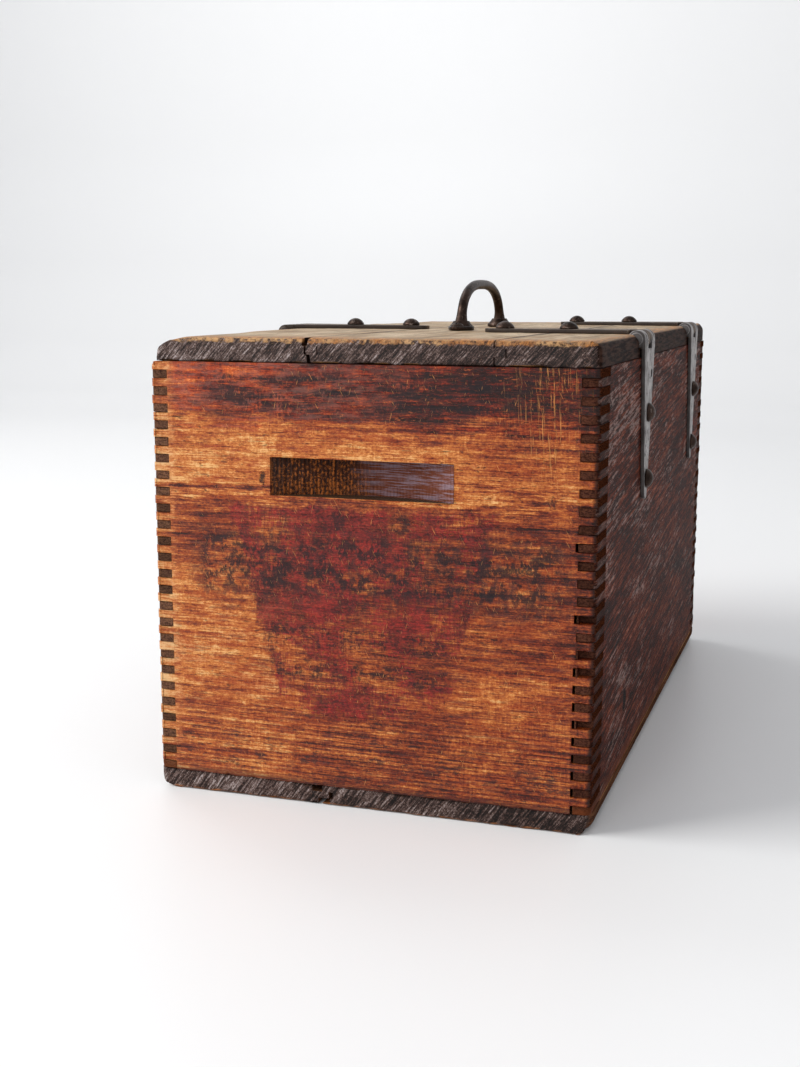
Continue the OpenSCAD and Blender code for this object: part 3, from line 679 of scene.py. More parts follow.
def side_wood(name):
    """Dark red-brown side boards, with pale painted glints along the grain."""
    g = Graph(name)
    y, z = g.y, g.z
    base_noise = g.noise(60, 90, 20, 4.0, 0.6, seed=1.0)
    grain = g.noise(3, 46, 1.4, 5.0, 0.68, seed=2.0, turn=-5.0)
    fine = g.noise(2, 10, 0.7, 5.0, 0.72, seed=3.0, turn=-6.0)
    mottle = g.noise(4, 7, 2.2, 5.0, 0.74, seed=12.0)
    light = g.add(0.35, g.times(g.minus(base_noise, 0.5), 0.6), g.times(g.minus(grain, 0.5), 2.0),
                  g.times(g.minus(fine, 0.5), 1.5), g.times(g.minus(mottle, 0.5), 0.9))
    colour = g.shade(g.ramp(light, TARRED), (1.16, 0.94, 0.86, 1.0))

    # Pale painted glints of the varnish, in streaks that climb slightly towards the back, denser near the front and the
    # top
    glint_streak_noise = g.noise(5, 34, 1.8, 5.0, 0.72, seed=4.0, turn=-7.0)
    zone = g.add(g.times(g.noise(50, 70, 26, 4.0, 0.6, seed=5.0), 0.55), g.times(g.rise(z, 60, 236), 0.05),
                 g.times(g.rise(y, 60, -200), 0.02))
    painted_glints = g.rise(g.add(glint_streak_noise, zone), 0.85, 0.92)
    dabs = g.rise(g.noise(4, 12, 3, 5.0, 0.74, seed=6.0, turn=-7.0), 0.58, 0.66)
    painted_glints = g.either(painted_glints, g.times(dabs, g.rise(z, 90, 190), 0.8))
    painted_glints = g.times(painted_glints, g.rise(mottle, 0.38, 0.55))
    colour = g.mix(g.times(painted_glints, 0.6), colour, tone(180, 154, 146))
    knot_y, knot_z = g.add(y, 122.0), g.add(z, -45.0)
    knot = g.add(g.times(knot_y, knot_y, 0.035), g.times(knot_z, knot_z, 0.022), g.times(g.minus(mottle, 0.5), 2.0))
    colour = g.mix(g.times(g.rise(knot, 1.2, 0.8), 0.95), colour, tone(6, 3, 3))

    # Sawn ends of the fingers, seen in the end faces
    ends = g.rise(g.math("ABSOLUTE", g.ny), 0.6, 0.85)
    speck = g.noise(1.1, 1, 0.8, 5.0, 0.72, seed=8.0)
    streak = g.noise(5, 2, 0.9, 4.0, 0.65, seed=9.0)
    per_finger = g.random_of(g.times(g.add(z, -1.2), 1 / 9.0), 4.0)
    end_tone = g.mix(g.rise(speck, 0.36, 0.64), tone(50, 30, 24), tone(114, 80, 62))
    end_tone = g.mix(g.times(g.rise(streak, 0.5, 0.66), 0.5), end_tone, tone(130, 92, 64))
    end_tone = g.shade(end_tone, g.add(0.6, g.times(per_finger, 0.6)))
    end_tone = g.shade(end_tone, g.mix(g.rise(g.x, -1, 1), (1.0, 1.0, 1.0, 1.0), (0.6, 0.46, 0.46, 1.0)))
    colour = g.mix(ends, colour, end_tone)

    # Grime in the corner joints, dark specks along the rounded arrises at the ends, and a browner foot
    joint = g.rise(g.math("ABSOLUTE", y), INNER_Y - 1.5, INNER_Y + 1)
    colour = g.mix(g.times(joint, g.off(ends), 0.55), colour, tone(46, 22, 14))
    arris = g.times(g.rise(g.math("ABSOLUTE", y), HALF_LENGTH - 3.6, HALF_LENGTH - 1.6), g.off(ends))
    colour = g.mix(g.times(arris, g.rise(speck, 0.45, 0.56), 0.7), colour, tone(24, 11, 8))
    foot = g.rise(g.add(z, g.times(grain, 10)), 24, 16)
    colour = g.mix(g.times(foot, 0.6), colour, tone(112, 58, 30))

    # Bare inside
    inner = g.rise(g.math("ABSOLUTE", g.x), INNER_X + 0.6, INNER_X + 0.2)
    bare_wood = g.mix(g.rise(grain, 0.36, 0.62), tone(118, 76, 46), tone(196, 150, 102))
    colour = g.mix(g.times(inner, g.off(ends)), colour, bare_wood)

    rough = g.add(0.46, g.times(fine, 0.2), g.times(painted_glints, 0.15), g.times(inner, 0.2), g.times(ends, 0.2))
    height = g.add(g.times(grain, 0.8), g.times(fine, 0.5), g.times(mottle, 0.4), g.times(painted_glints, 0.3),
                   g.times(ends, speck, 0.8))
    return g.finish(colour, rough, height, 0.4, specular=0.03)


def base_wood(name):
    """Dark bottom boards: sawn end grain, orange where the arrises are worn."""
    g = Graph(name)
    end_colour, end_height = end_grain(g, 34, 1.5)
    along = g.noise(2, 60, 2, 4.0, 0.6, seed=12.0)
    fine = g.noise(1, 12, 1, 4.0, 0.7, seed=13.0)
    face = g.mix(g.rise(along, 0.35, 0.65), tone(58, 38, 30), tone(104, 70, 50))
    face = g.mix(g.times(g.rise(fine, 0.55, 0.7), 0.4), face, tone(132, 96, 72))
    ends = g.rise(g.math("ABSOLUTE", g.ny), 0.45, 0.75)
    colour = g.mix(ends, face, end_colour)
    ragged = g.add(g.z, g.times(g.noise(5, 9, 2, 4.0, 0.65, seed=14.0), 4.5), -2.2)
    worn = g.times(g.rise(ragged, 1.4, 0.2), g.off(g.rise(g.nz, -0.8, -0.97)))
    colour = g.mix(g.times(worn, 0.8), colour, g.mix(fine, tone(120, 66, 34), tone(196, 130, 78)))
    inner = g.times(g.rise(g.nz, 0.6, 0.9), g.rise(g.math("ABSOLUTE", g.y), INNER_Y + 2, INNER_Y))
    bare_wood = g.mix(g.rise(along, 0.36, 0.62), tone(108, 72, 46), tone(186, 140, 96))
    colour = g.mix(inner, colour, bare_wood)
    rough = g.add(0.56, g.times(fine, 0.25))
    height = g.add(g.times(ends, end_height), g.times(g.off(ends), along, 0.6), g.times(fine, 0.2))
    return g.finish(colour, rough, height, 0.6, specular=g.times(ends, 0.2))


def lid_wood(name):
    """Weathered tan lid boards with dark sawn end grain and worn orange arrises."""
    g = Graph(name)
    x, y, z = g.x, g.y, g.z
    end_colour, end_height = end_grain(g, 40, 1.2)
    along = g.noise(2.4, 90, 3, 4.0, 0.6, seed=12.0)
    fine = g.noise(0.8, 14, 1, 4.0, 0.7, seed=13.0)
    cloud = g.noise(30, 60, 20, 4.0, 0.6, seed=14.0)
    lines = grain_lines(g, x, 7.5, g.noise(30, 300, 30, 2.0, seed=15.0), 0.3)
    face = g.mix(g.rise(cloud, 0.35, 0.65), tone(156, 130, 98), tone(198, 176, 146))
    face = g.mix(g.times(g.rise(along, 0.5, 0.66), 0.5), face, tone(118, 84, 54))
    face = g.mix(g.times(lines, 0.3), face, tone(112, 74, 44))
    face = g.mix(g.times(g.rise(fine, 0.56, 0.7), 0.35), face, tone(206, 190, 160))
    olive = g.rise(g.noise(9, 80, 20, 5.0, 0.66, seed=16.0), 0.5, 0.62)
    face = g.mix(g.times(olive, 0.45), face, tone(112, 92, 64))
    coarse = g.noise(5, 30, 5, 5.0, 0.74, seed=21.0)
    face = g.shade(face, g.swing((coarse, 1.3), (fine, 1.2), (along, 0.8)))
    for joint in (LEFT_JOINT, RIGHT_JOINT):
        seam = g.rise(g.math("ABSOLUTE", g.add(x, -joint - LID_GAP / 2, g.times(g.minus(fine, 0.5), 2))), 2.4, 0.9)
        face = g.mix(g.times(seam, 0.7), face, tone(44, 28, 20))
    stain = g.rise(g.noise(7, 18, 6, 5.0, 0.74, seed=17.0), 0.59, 0.67)
    face = g.mix(g.times(stain, 0.65), face, tone(66, 46, 34))

    # The long edges are dark brown and scuffed
    side = g.either(g.rise(g.math("ABSOLUTE", g.nx), 0.45, 0.7), g.rise(x, LID_RIGHT - 2.4, LID_RIGHT - 1.0))
    side = g.times(side, g.rise(g.nz, 0.93, 0.8))
    dark = g.mix(g.rise(g.noise(3, 14, 1.5, 4.0, 0.65, seed=18.0), 0.4, 0.62), tone(26, 15, 11), tone(64, 44, 36))
    underside = g.rise(g.nz, -0.6, -0.9)
    bare_wood = g.mix(g.rise(along, 0.36, 0.62), tone(122, 82, 50), tone(194, 150, 104))
    face = g.mix(underside, face, bare_wood)

    # Near the rim the top is worn orange-brown
    rim = g.either(g.rise(g.math("ABSOLUTE", y), HALF_LENGTH - 60, HALF_LENGTH - 2), g.rise(g.math("ABSOLUTE", x), 92, 117))
    patchy = g.add(g.times(cloud, 0.6), g.times(coarse, 0.5), g.times(fine, 0.25), g.times(rim, 0.22))
    rim = g.times(rim, g.rise(patchy, 0.78, 0.9))
    face = g.mix(g.times(rim, 0.8), face, g.mix(g.rise(fine, 0.4, 0.6), tone(112, 68, 36), tone(186, 128, 70)))
    face = g.mix(side, face, dark)
    ends = g.rise(g.math("ABSOLUTE", g.ny), 0.5, 0.8)
    colour = g.mix(ends, face, end_colour)
    ragged = g.add(z, g.times(g.noise(4, 9, 2.4, 5.0, 0.7, seed=19.0), 5.0), -2.5)
    worn = g.times(g.rise(g.math("ABSOLUTE", y), HALF_LENGTH - 4, HALF_LENGTH - 2.5), g.rise(ragged, LID_TOP - 3.2, LID_TOP - 2.0))
    nibbled = g.noise(4, 4, 4, 5.0, 0.74, seed=20.0)
    worn_tone = g.mix(g.rise(nibbled, 0.4, 0.6), tone(70, 46, 32), tone(200, 156, 108))
    worn_tone = g.mix(g.rise(cloud, 0.45, 0.6), worn_tone, g.mix(g.rise(fine, 0.4, 0.6), tone(110, 66, 34), tone(184, 120, 60)))
    colour = g.mix(g.times(worn, g.rise(g.add(nibbled, g.times(cloud, 0.5)), 0.62, 0.74), 0.9), colour, worn_tone)
    rough = g.add(0.46, g.times(fine, 0.26))
    height = g.add(g.times(ends, end_height), g.times(g.off(ends), along, 0.7), g.times(fine, 0.25),
                   g.times(lines, g.off(ends), -0.2))
    return g.finish(colour, rough, height, 0.6, specular=g.add(0.22, g.times(side, -0.2)))


def batten_wood(name):
    g = Graph(name)
    fibre = g.noise(14, 2, 0.8, 4.0, 0.65, seed=2.0)
    lines = grain_lines(g, g.z, 3.6, g.noise(90, 20, 12, 2.0, seed=3.0), 0.3)
    colour = g.mix(fibre, tone(158, 114, 72), tone(208, 162, 112))
    colour = g.mix(g.times(lines, 0.4), colour, tone(128, 80, 46))
    stain = g.rise(g.noise(9, 9, 6, 4.0, 0.7, seed=4.0), 0.58, 0.7)
    colour = g.mix(g.times(stain, 0.5), colour, tone(84, 56, 38))
    height = g.add(g.times(fibre, 0.7), g.times(lines, -0.3))
    return g.finish(colour, g.add(0.55, g.times(fibre, 0.2)), height, 0.2)


def strap_steel(name, browned):
    """Worn strap steel: grey with dark patches and rust spots, or browned all over, with painted shade on the edges
    that face along Y.
    """
    g = Graph(name)
    cloud = g.noise(11, 11, 11, 4.0, 0.6, seed=1.0)
    fine = g.noise(1.2, 1.2, 1.2, 5.0, 0.72, seed=2.0)
    brushed = g.noise(1.0, 1.0, 22, 3.0, 0.6, seed=3.0)
    low, high = (tone(70, 54, 42), tone(116, 96, 78)) if browned else (tone(112, 105, 102), tone(186, 181, 179))
    colour = g.mix(g.rise(cloud, 0.32, 0.68), low, high)
    if not browned:
        colour = g.mix(g.times(g.rise(brushed, 0.5, 0.66), 0.35), colour, tone(214, 211, 210))
    dark = g.rise(g.noise(5, 5, 5, 5.0, 0.7, seed=4.0), 0.52, 0.64)
    # Edges that face along Y are painted dark as painted shade
    dark = g.either(dark, g.rise(g.math("ABSOLUTE", g.ny), 0.25, 0.7))
    colour = g.mix(g.times(dark, 0.85), colour, tone(30, 21, 18))
    rust = g.rise(g.noise(2.2, 2.2, 2.2, 5.0, 0.72, seed=5.0), 0.6, 0.7)
    colour = g.mix(g.times(rust, 0.65), colour, tone(88, 50, 30))
    metal = g.off(g.times(g.either(dark, rust), 0.95))
    if browned:
        metal = g.times(metal, 0.5)
    rough = g.add(0.42, g.times(fine, 0.22), g.times(rust, 0.2))
    height = g.add(g.times(fine, 0.6), g.times(cloud, 0.6), g.times(rust, 0.4))
    return g.finish(colour, rough, height, 0.16, metal=metal, specular=0.3)


def dark_iron(name):
    """Brown-black iron with a soft gloss, rubbed brighter in spots."""
    g = Graph(name)
    cloud = g.noise(7, 7, 7, 4.0, 0.6, seed=1.0)
    fine = g.noise(0.9, 0.9, 0.9, 4.0, 0.7, seed=2.0)
    colour = g.mix(g.rise(cloud, 0.35, 0.65), tone(40, 31, 27), tone(72, 57, 50))
    rubbed = g.rise(g.noise(3.2, 3.2, 3.2, 4.0, 0.65, seed=3.0), 0.56, 0.7)
    colour = g.mix(g.times(rubbed, 0.5), colour, tone(146, 130, 120))
    rust = g.rise(fine, 0.62, 0.74)
    colour = g.mix(g.times(rust, 0.5), colour, tone(80, 46, 30))
    rough = g.add(0.3, g.times(fine, 0.22))
    height = g.add(g.times(fine, 0.6), g.times(cloud, 0.7))
    return g.finish(colour, rough, height, 0.14, metal=g.off(g.times(rust, 0.4)))


# ---- Wooden pieces ----

def finger_heights():
    """Heights of all finger faces and their middles, bottom to top."""
    heights = [BOTTOM, PANEL_TOP]
    for i in range(FINGERS):
        top = PANEL_TOP - 2 * FINGER * i
        heights += [top - FINGER + PLAY, top - FINGER - PLAY, top - FINGER / 2, top - 1.5 * FINGER]
        if i:
            heights += [top - PLAY, top + PLAY]
    return places([h for h in heights if h >= BOTTOM])


def in_end_finger(z):
    """True where an end panel's finger is, by height; its socket is elsewhere."""
    place = (PANEL_TOP - z) % (2 * FINGER)
    inside = (place > PLAY) & (place < FINGER - PLAY)
    return inside | (z > PANEL_TOP - FINGER + PLAY)


def in_side_finger(z):
    place = (PANEL_TOP - z) % (2 * FINGER)
    return (place > FINGER + PLAY) & (place < 2 * FINGER - PLAY) | (z < BOTTOM + FINGER - PLAY)


def end_panel(front):
    """One end panel in front position; grid cells make its fingers and hand-hold."""
    seed = 10 if front else 50
    grip_x = FRONT_GRIP_X if front else 0.0
    x0, x1 = grip_x - GRIP_HALF, grip_x + GRIP_HALF
    corners = [(LEFT_ARRIS - HALF_WIDTH, LEFT_ARRIS - HALF_LENGTH, -LEFT_ARRIS, -LEFT_ARRIS, 0, 1),
               (HALF_WIDTH - RIGHT_ARRIS, RIGHT_ARRIS - HALF_LENGTH, RIGHT_ARRIS, -RIGHT_ARRIS, 0, 1),
               (3 - HALF_WIDTH, PANEL_TOP - 3, -3, 3, 0, 2)]
    edge = [6.0, 8.6]
    gap_x = INNER_X - 1.4
    xs = places([-HALF_WIDTH, HALF_WIDTH, -INNER_X + PLAY, INNER_X - PLAY, gap_x], corner_lines(corners, 0),
                [-HALF_WIDTH + e for e in edge], [HALF_WIDTH - e for e in edge],
                steps(-INNER_X + 2, x0 - 1, 2.6), steps(x0, x1, 1.25), steps(x1 + 1, gap_x - 2, 2.6))
    ys = places(corner_lines(corners, 1),
                [-HALF_LENGTH, -HALF_LENGTH + 0.9, -HALF_LENGTH + 6, -HALF_LENGTH + 10,
                 -HALF_LENGTH + GRIP_DEPTH, -INNER_Y - 5, -INNER_Y - 1, -INNER_Y])
    zs = places(finger_heights(), [GRIP_Z - 10, GRIP_Z + 10], [GRIP_Z - 8.6, GRIP_Z + 8.6], corner_lines(corners, 2))
    cx, cy, cz = cell_grid(xs, ys, zs)
    filled = (np.abs(cx) < INNER_X - PLAY) | in_end_finger(cz)
    pocket = (np.abs(cx - grip_x) < GRIP_HALF) & (np.abs(cz - GRIP_Z) < 10) & (cy < -HALF_LENGTH + GRIP_DEPTH)
    filled &= ~pocket
    number = np.floor((PANEL_TOP - cz) / (2 * FINGER)).astype(np.int64)
    loose = (number >= 9) & (whole_hash(number, number * 0, number * 0, seed + 3) > 0.25)
    filled &= ~(loose & (cx > gap_x) & (cx < INNER_X) & ~in_end_finger(cz) & (cy < -HALF_LENGTH + 10))
    points, faces = skin(xs, ys, zs, filled)
    for corner in corners:
        round_corner(points, corner)

    x, y, z = points.T.copy()
    # The hand-hold's floor is a shallow arc, with a small step at its ends
    inside = (np.abs(x - grip_x) <= GRIP_HALF + 0.01) & (np.abs(z - GRIP_Z) <= 10.01)
    inside &= (y > -HALF_LENGTH + 0.01) & (y < -HALF_LENGTH + GRIP_DEPTH + 0.01)
    arc = np.sqrt(np.maximum(GRIP_RADIUS**2 - (x - grip_x) ** 2, 0)) - (GRIP_RADIUS - GRIP_DEPTH)
    arc = np.clip(arc, 1.0, GRIP_DEPTH)
    tooth = 0.35 * np.sin(x * 2 * math.pi / 5.1) * np.clip((grip_x + 5 - x) / 30, 0, 1)
    depth = (y + HALF_LENGTH) / GRIP_DEPTH
    y = np.where(inside, -HALF_LENGTH + depth * (arc + tooth * (depth > 0.99)), y)

    # Fingers differ a little in length and height, and their ends are worn
    number = np.floor((PANEL_TOP - z) / (2 * FINGER)).astype(np.int64)
    at_finger = np.abs(x) > INNER_X + 0.5
    side = (x > 0).astype(np.int64)
    short = 0.1 + 0.5 * whole_hash(number, side, number * 0, seed)
    x = np.where(np.abs(x) > HALF_WIDTH - 4, x - np.sign(x) * short, x)
    z = z + np.where(at_finger & (z > BOTTOM + 1) & (z < PANEL_TOP - 1),
                     0.22 * (whole_hash(np.round(z * 2).astype(np.int64), side, number * 0, seed + 1) - 0.5), 0)
    points = np.stack([x, y, z], axis=1)

    outer = np.abs(y + HALF_LENGTH) < 0.01
    wave = 0.14 * (1 + bumps(points, (60, 50, 18), seed + 4)) + 0.08 * (1 + bumps(points, (22, 9, 2.2), seed + 5))
    points[:, 1] += np.where(outer, wave, 0)
    finger_sink = 0.4 * whole_hash(number, side, number * 0 + 5, seed + 6)
    points[:, 1] += np.where(outer & at_finger, finger_sink, 0)
    # Chips along the front arrises
    near = np.minimum(HALF_WIDTH - np.abs(x), np.minimum(PANEL_TOP - z, z - BOTTOM))
    chip = np.clip(bumps(points, (5, 8, 5), seed + 7) - 0.35, 0, 1) * np.clip(1 - near / 1.5, 0, 1)
    points[:, 1] += np.where(outer, 1.6 * chip, 0)
    return points, faces


def side_panel(seed, arris, marks):
    """A side panel in right-hand position, outer face at +X."""
    fine = [0.8, 9.0, 15.0, 20.0]
    corners = [(HALF_WIDTH - arris, side * (HALF_LENGTH - arris), arris, side * arris, 0, 1) for side in (-1, 1)]
    xs = places([INNER_X, INNER_X + 1, INNER_X + 5, HALF_WIDTH], corner_lines(corners, 0))
    ys = places([-HALF_LENGTH, -INNER_Y + PLAY, INNER_Y - PLAY, HALF_LENGTH], corner_lines(corners, 1),
                [-HALF_LENGTH + f for f in fine], [HALF_LENGTH - f for f in fine],
                steps(-INNER_Y + 3, INNER_Y - 3, 3.6))
    zs = finger_heights()
    cx, cy, cz = cell_grid(xs, ys, zs)
    filled = (np.abs(cy) < INNER_Y - PLAY) | in_side_finger(cz)
    # A few front fingers have lost their outer corners
    number = np.floor((PANEL_TOP - cz) / (2 * FINGER)).astype(np.int64)
    broken = np.isin(number, marks) & (cy < -HALF_LENGTH + 4) & (cx > INNER_X + 1)
    filled &= ~broken
    points, faces = skin(xs, ys, zs, filled)
    for corner in corners:
        round_corner(points, corner)
    x, y, z = points.T.copy()
    number = np.floor((PANEL_TOP - z) / (2 * FINGER)).astype(np.int64)
    end = (y > 0).astype(np.int64)
    finger = np.abs(y) > INNER_Y + 0.5
    sink = 0.3 + 0.5 * whole_hash(number, end, number * 0, seed)
    y = np.where(np.abs(y) > HALF_LENGTH - 4, y - np.sign(y) * sink, y)
    outer = x > HALF_WIDTH - arris - 0.01
    recess = 0.1 + 0.4 * whole_hash(number, end, number * 0 + 2, seed + 1)
    points = np.stack([x, y, z], axis=1)
    wave = 0.16 * (1 + bumps(points, (9, 70, 22), seed + 2)) + 0.1 * (1 + bumps(points, (9, 24, 4), seed + 3))
    points[:, 0] -= np.where(outer, wave + np.where(finger, recess, 0), 0)
    return points, faces


def round_corner(points, corner):
    """Rounds the square corner beyond a point, given as (a, b, reach_a, reach_b, axis_a, axis_b),
    by sliding its points onto a quarter ellipse; the signs of the reaches point outwards."""
    a, b, reach_a, reach_b, *axes = corner
    reach = np.array([reach_a, reach_b], float)
    d = (points[:, axes] - np.array([a, b])) / reach
    away = np.maximum(np.linalg.norm(d, axis=1), 1e-9)
    beyond = (d[:, 0] > 1e-6) & (d[:, 1] > 1e-6)
    slid = d * (np.max(d, axis=1) / away)[:, None]
    points[:, axes] = np.where(beyond[:, None], slid, d) * reach + np.array([a, b])


def corner_lines(corners, axis):
    """Grid lines that a set of rounded corners needs along one axis."""
    lines = []
    for a, b, reach_a, reach_b, axis_a, axis_b in corners:
        for place, reach, own in ((a, reach_a, axis_a), (b, reach_b, axis_b)):
            if own == axis:
                lines += [place + reach * t for t in (0, 0.2, 0.4, 0.6, 0.8, 0.9, 1)]
    return lines


def board(x0, x1, z0, z1, tongue, groove, seed, corners, notches=(), bites=()):
    """A board along Y with a tongue on its right or a groove on its left, worn at its edges.
    Bites are lost bits of its front end, as (x0, x1, z0, z1, depth)."""
    third = (z1 - z0) / 3
    extra = [x1 + t for t in (3.0, 6.0)] if tongue else []
    grooves = [x0 + t for t in (3.0, 6.0)] if groove else []
    cuts = [y + s * 21 for y, s in [(n[1], s) for n in notches for s in (-1, 1)]]
    bitten = [v for b in bites for v in b[:2]]
    xs = places([x0, x1], bitten, extra, grooves, corner_lines(corners, 0), steps(x0, x1, 2.4))
    ys = places([-HALF_LENGTH, -HALF_LENGTH + 0.7, -HALF_LENGTH + 2, HALF_LENGTH - 2, HALF_LENGTH - 0.7, HALF_LENGTH],
                corner_lines(corners, 1), [-HALF_LENGTH + 3.4, HALF_LENGTH - 3.4], steps(-HALF_LENGTH + 5, HALF_LENGTH - 5, 5), cuts)
    zs = places([z0, z0 + third / 2, z0 + third, z0 + 1.5 * third, z1 - third, z1 - third / 2, z1, z0 + 0.7, z1 - 0.7],
                corner_lines(corners, 2))
    cx, cy, cz = cell_grid(xs, ys, zs)
    middle = (cz > z0 + third) & (cz < z1 - third)
    filled = (cx > x0) & (cx < x1) & ~(groove & middle & (cx < x0 + 6))
    if tongue:
        filled |= middle & (cx > x1) & (cx < x1 + 6)
    for edge_x, y, half, low in notches:
        filled &= ~((np.abs(cy - y) < half) & (np.abs(cx - edge_x) < 6.0) & (cz > low))
    for bx0, bx1, bz0, bz1, depth in bites:
        filled &= ~((cx > bx0) & (cx < bx1) & (cz > bz0) & (cz < bz1) & (cy < depth - HALF_LENGTH))
    points, faces = skin(xs, ys, zs, filled)
    for corner in corners:
        round_corner(points, corner)
    x, y, z = points.T.copy()
    # Sawn ends are uneven; the arrises at the ends are worn round and chipped
    end = np.abs(y) > HALF_LENGTH - 0.01
    push = 0.35 * (1 + bumps(points, (7, 50, 5), seed)) + 0.2 * (1 + bumps(points, (2.4, 50, 3), seed + 1))
    near = np.minimum(z1 - z, (z - z0) * 1.3)
    rag = np.clip(1 - near / (1.2 + 0.9 * bumps(points, (9, 50, 9), seed + 2)), 0, 1)
    push += 1.7 * rag * np.clip(0.62 + bumps(points, (6, 50, 9), seed + 3), 0, 1.4)
    y -= np.where(end, np.sign(y) * push, 0)
    rim = np.clip(1 - (HALF_LENGTH - np.abs(points[:, 1])) / 5.0, 0, 1) ** 2
    top = np.abs(z - z1) < 0.01
    under = np.abs(z - z0) < 0.01
    drop = rim * ((2.3 if z0 > 100 else 1.2) + 1.0 * bumps(points, (9, 8, 9), seed + 4)
                  + 0.6 * bumps(points, (3.2, 8, 9), seed + 7))
    sag = 0.12 * (1 + bumps(points, (26, 60, 9), seed + 5)) + 0.08 * (1 + bumps(points, (5, 34, 9), seed + 6))
    if z0 > 100:
        z -= np.where(top, np.clip(drop, 0, 4) + sag, 0)
    else:
        corner = np.clip((np.abs(x) - 92) / 29, 0, 1) ** 2 * np.clip((-HALF_LENGTH + 60 - y) / 60, 0, 1)
        z += np.where(under, np.clip(drop, 0, 3) + 2.2 * corner, 0)
    return np.stack([x, y, z], axis=1), faces


def plan_corners(edge_x, radius):
    """Both rounded corners, seen from above, of a board whose long edge is at edge_x."""
    out = math.copysign(radius, edge_x)
    return [(edge_x - out, side * (HALF_LENGTH - radius), out, side * radius, 0, 1) for side in (-1, 1)]


def sloped(mesh):
    """Lengthens the worn slope of the lid's left edge towards both ends, away from the hasp."""
    points, faces = mesh
    points = points.copy()
    x, y, z = points.T
    inside = x - LID_LEFT

    def height(reach):
        t = np.clip((reach - inside) / reach, 0, 1)
        return LID_TOP - LID_BOTTOM - LID_FALL * (1 - np.sqrt(1 - t * t))

    ends = np.clip((np.abs(y) - 110) / 70, 0, 1)
    fall = 1 - height(LID_SLOPE) / height(LID_ROUND)
    points[:, 2] = LID_BOTTOM + (z - LID_BOTTOM) * (1 - ends * fall)
    return points, faces


def jogged(mesh, joint_x, seed, wide):
    """Makes a joint's faces wander together, so that it shows as a ragged crack."""
    points, faces = mesh
    near = np.clip(1 - np.abs(points[:, 0] - joint_x) / 5.0, 0, 1)
    points = points.copy()
    points[:, 0] += near * wide * bumps(points * np.array([0, 1, 1]), (9, 30, 3.4), seed)
    return points, faces


def boxed(x0, x1, y0, y1, z0, z1, size, seed, wear=0.15):
    """A plain sawn bar as a fine grid with slightly uneven faces."""
    xs, ys, zs = (places(steps(a, b, size), [a, b]) for a, b in ((x0, x1), (y0, y1), (z0, z1)))
    cx, _, _ = cell_grid(xs, ys, zs)
    points, faces = skin(xs, ys, zs, np.ones_like(cx, bool))
    middle = np.array([x0 + x1, y0 + y1, z0 + z1]) / 2
    half = np.array([x1 - x0, y1 - y0, z1 - z0]) / 2
    for axis in range(3):
        outer = np.abs(np.abs(points[:, axis] - middle[axis]) - half[axis]) < 0.01
        wave = wear * (1 + bumps(points, (30, 14, 7), seed + axis)) / 2
        points[:, axis] -= np.where(outer, np.sign(points[:, axis] - middle[axis]) * wave, 0)
    return points, faces


def mirror_y(mesh):
    return moved(mesh, Matrix.Diagonal((1, -1, 1, 1)))


def mirror_x(mesh):
    return moved(mesh, Matrix.Diagonal((-1, 1, 1, 1)))


front_pine = end_wood("amber_pine_front", True)
rear_pine = end_wood("amber_pine_rear", False)
side_board = side_wood("side_board")
base_board = base_wood("base_board")
lid_board = lid_wood("lid_board")
batten_pine = batten_wood("batten_pine")
steel = strap_steel("strap_steel", False)
brown_steel = strap_steel("strap_steel_brown", True)
iron = dark_iron("dark_iron")

piece("end_panel_front", end_panel(True), "box", front_pine, ["front_end_panel"], 0.45)
piece("end_panel_rear", mirror_y(end_panel(False)), "box", rear_pine, ["rear_end_panel"], 0.45)
piece("side_panel_right", side_panel(20, RIGHT_ARRIS, (13, 15, 16, 19)), "box", side_board, ["right_side_panel"], 0.45)
piece("side_panel_left", mirror_x(side_panel(30, LEFT_ARRIS, ())), "box", side_board, ["left_side_panel"], 0.45)

bottom_corners_left = [(14 - HALF_WIDTH, 6.5, -14, -6.5, 0, 2), *plan_corners(-HALF_WIDTH, 4)]
bottom_corners_right = [(HALF_WIDTH - 9, 7.5, 9, -7.5, 0, 2), *plan_corners(HALF_WIDTH, 9)]
piece("bottom_board_a", board(-HALF_WIDTH, -27, 0, BOTTOM, True, False, 60, bottom_corners_left,
      bites=[(-30.5, -27, 7.2, 10, 12), (-32, -27, -1, 0.8, 10)]), "box",
      base_board, ["bottom_board_left"], 0.4)
piece("bottom_board_b", board(-24.8, HALF_WIDTH, 0, BOTTOM, False, True, 70, bottom_corners_right,
      bites=[(-24.8, -20.5, 0.8, 3.7, 12)]), "box",
      base_board, ["bottom_board_right"], 0.4)

lid_left_corner = [(LID_LEFT + LID_ROUND, LID_TOP - LID_FALL, -LID_ROUND, LID_FALL, 0, 2),
                   *plan_corners(LID_LEFT, 4)]
lid_right_corner = [(LID_RIGHT - 6, LID_TOP - 6, 6, 6, 0, 2), *plan_corners(LID_RIGHT, 5)]
hasp_notch = [(HASP_X, HASP_Y, 21, AXIS_Z - 6.4)]
hinge_notches = [(HINGE_X, y, 21, AXIS_Z - 6.4) for y in HINGE_YS]
piece("lid_board_a", jogged(sloped(board(LID_LEFT, LEFT_JOINT, LID_BOTTOM, LID_TOP, True, False, 80, lid_left_corner,
      hasp_notch, [(-34.2, -32, 244.6, 250, 16), (-33.0, -32, 240.4, 244.8, 14)])), LEFT_JOINT, 90, 1.1), "lid", lid_board, ["lid_board_left"], 0.4)
piece("lid_board_b", jogged(board(LEFT_JOINT + LID_GAP, RIGHT_JOINT, LID_BOTTOM, LID_TOP, True, True, 84, [],
      bites=[(-31.4, -30.0, 235, 240.6, 14)]),
      LEFT_JOINT, 90, 1.1), "lid", lid_board, ["lid_board_middle"], 0.4)
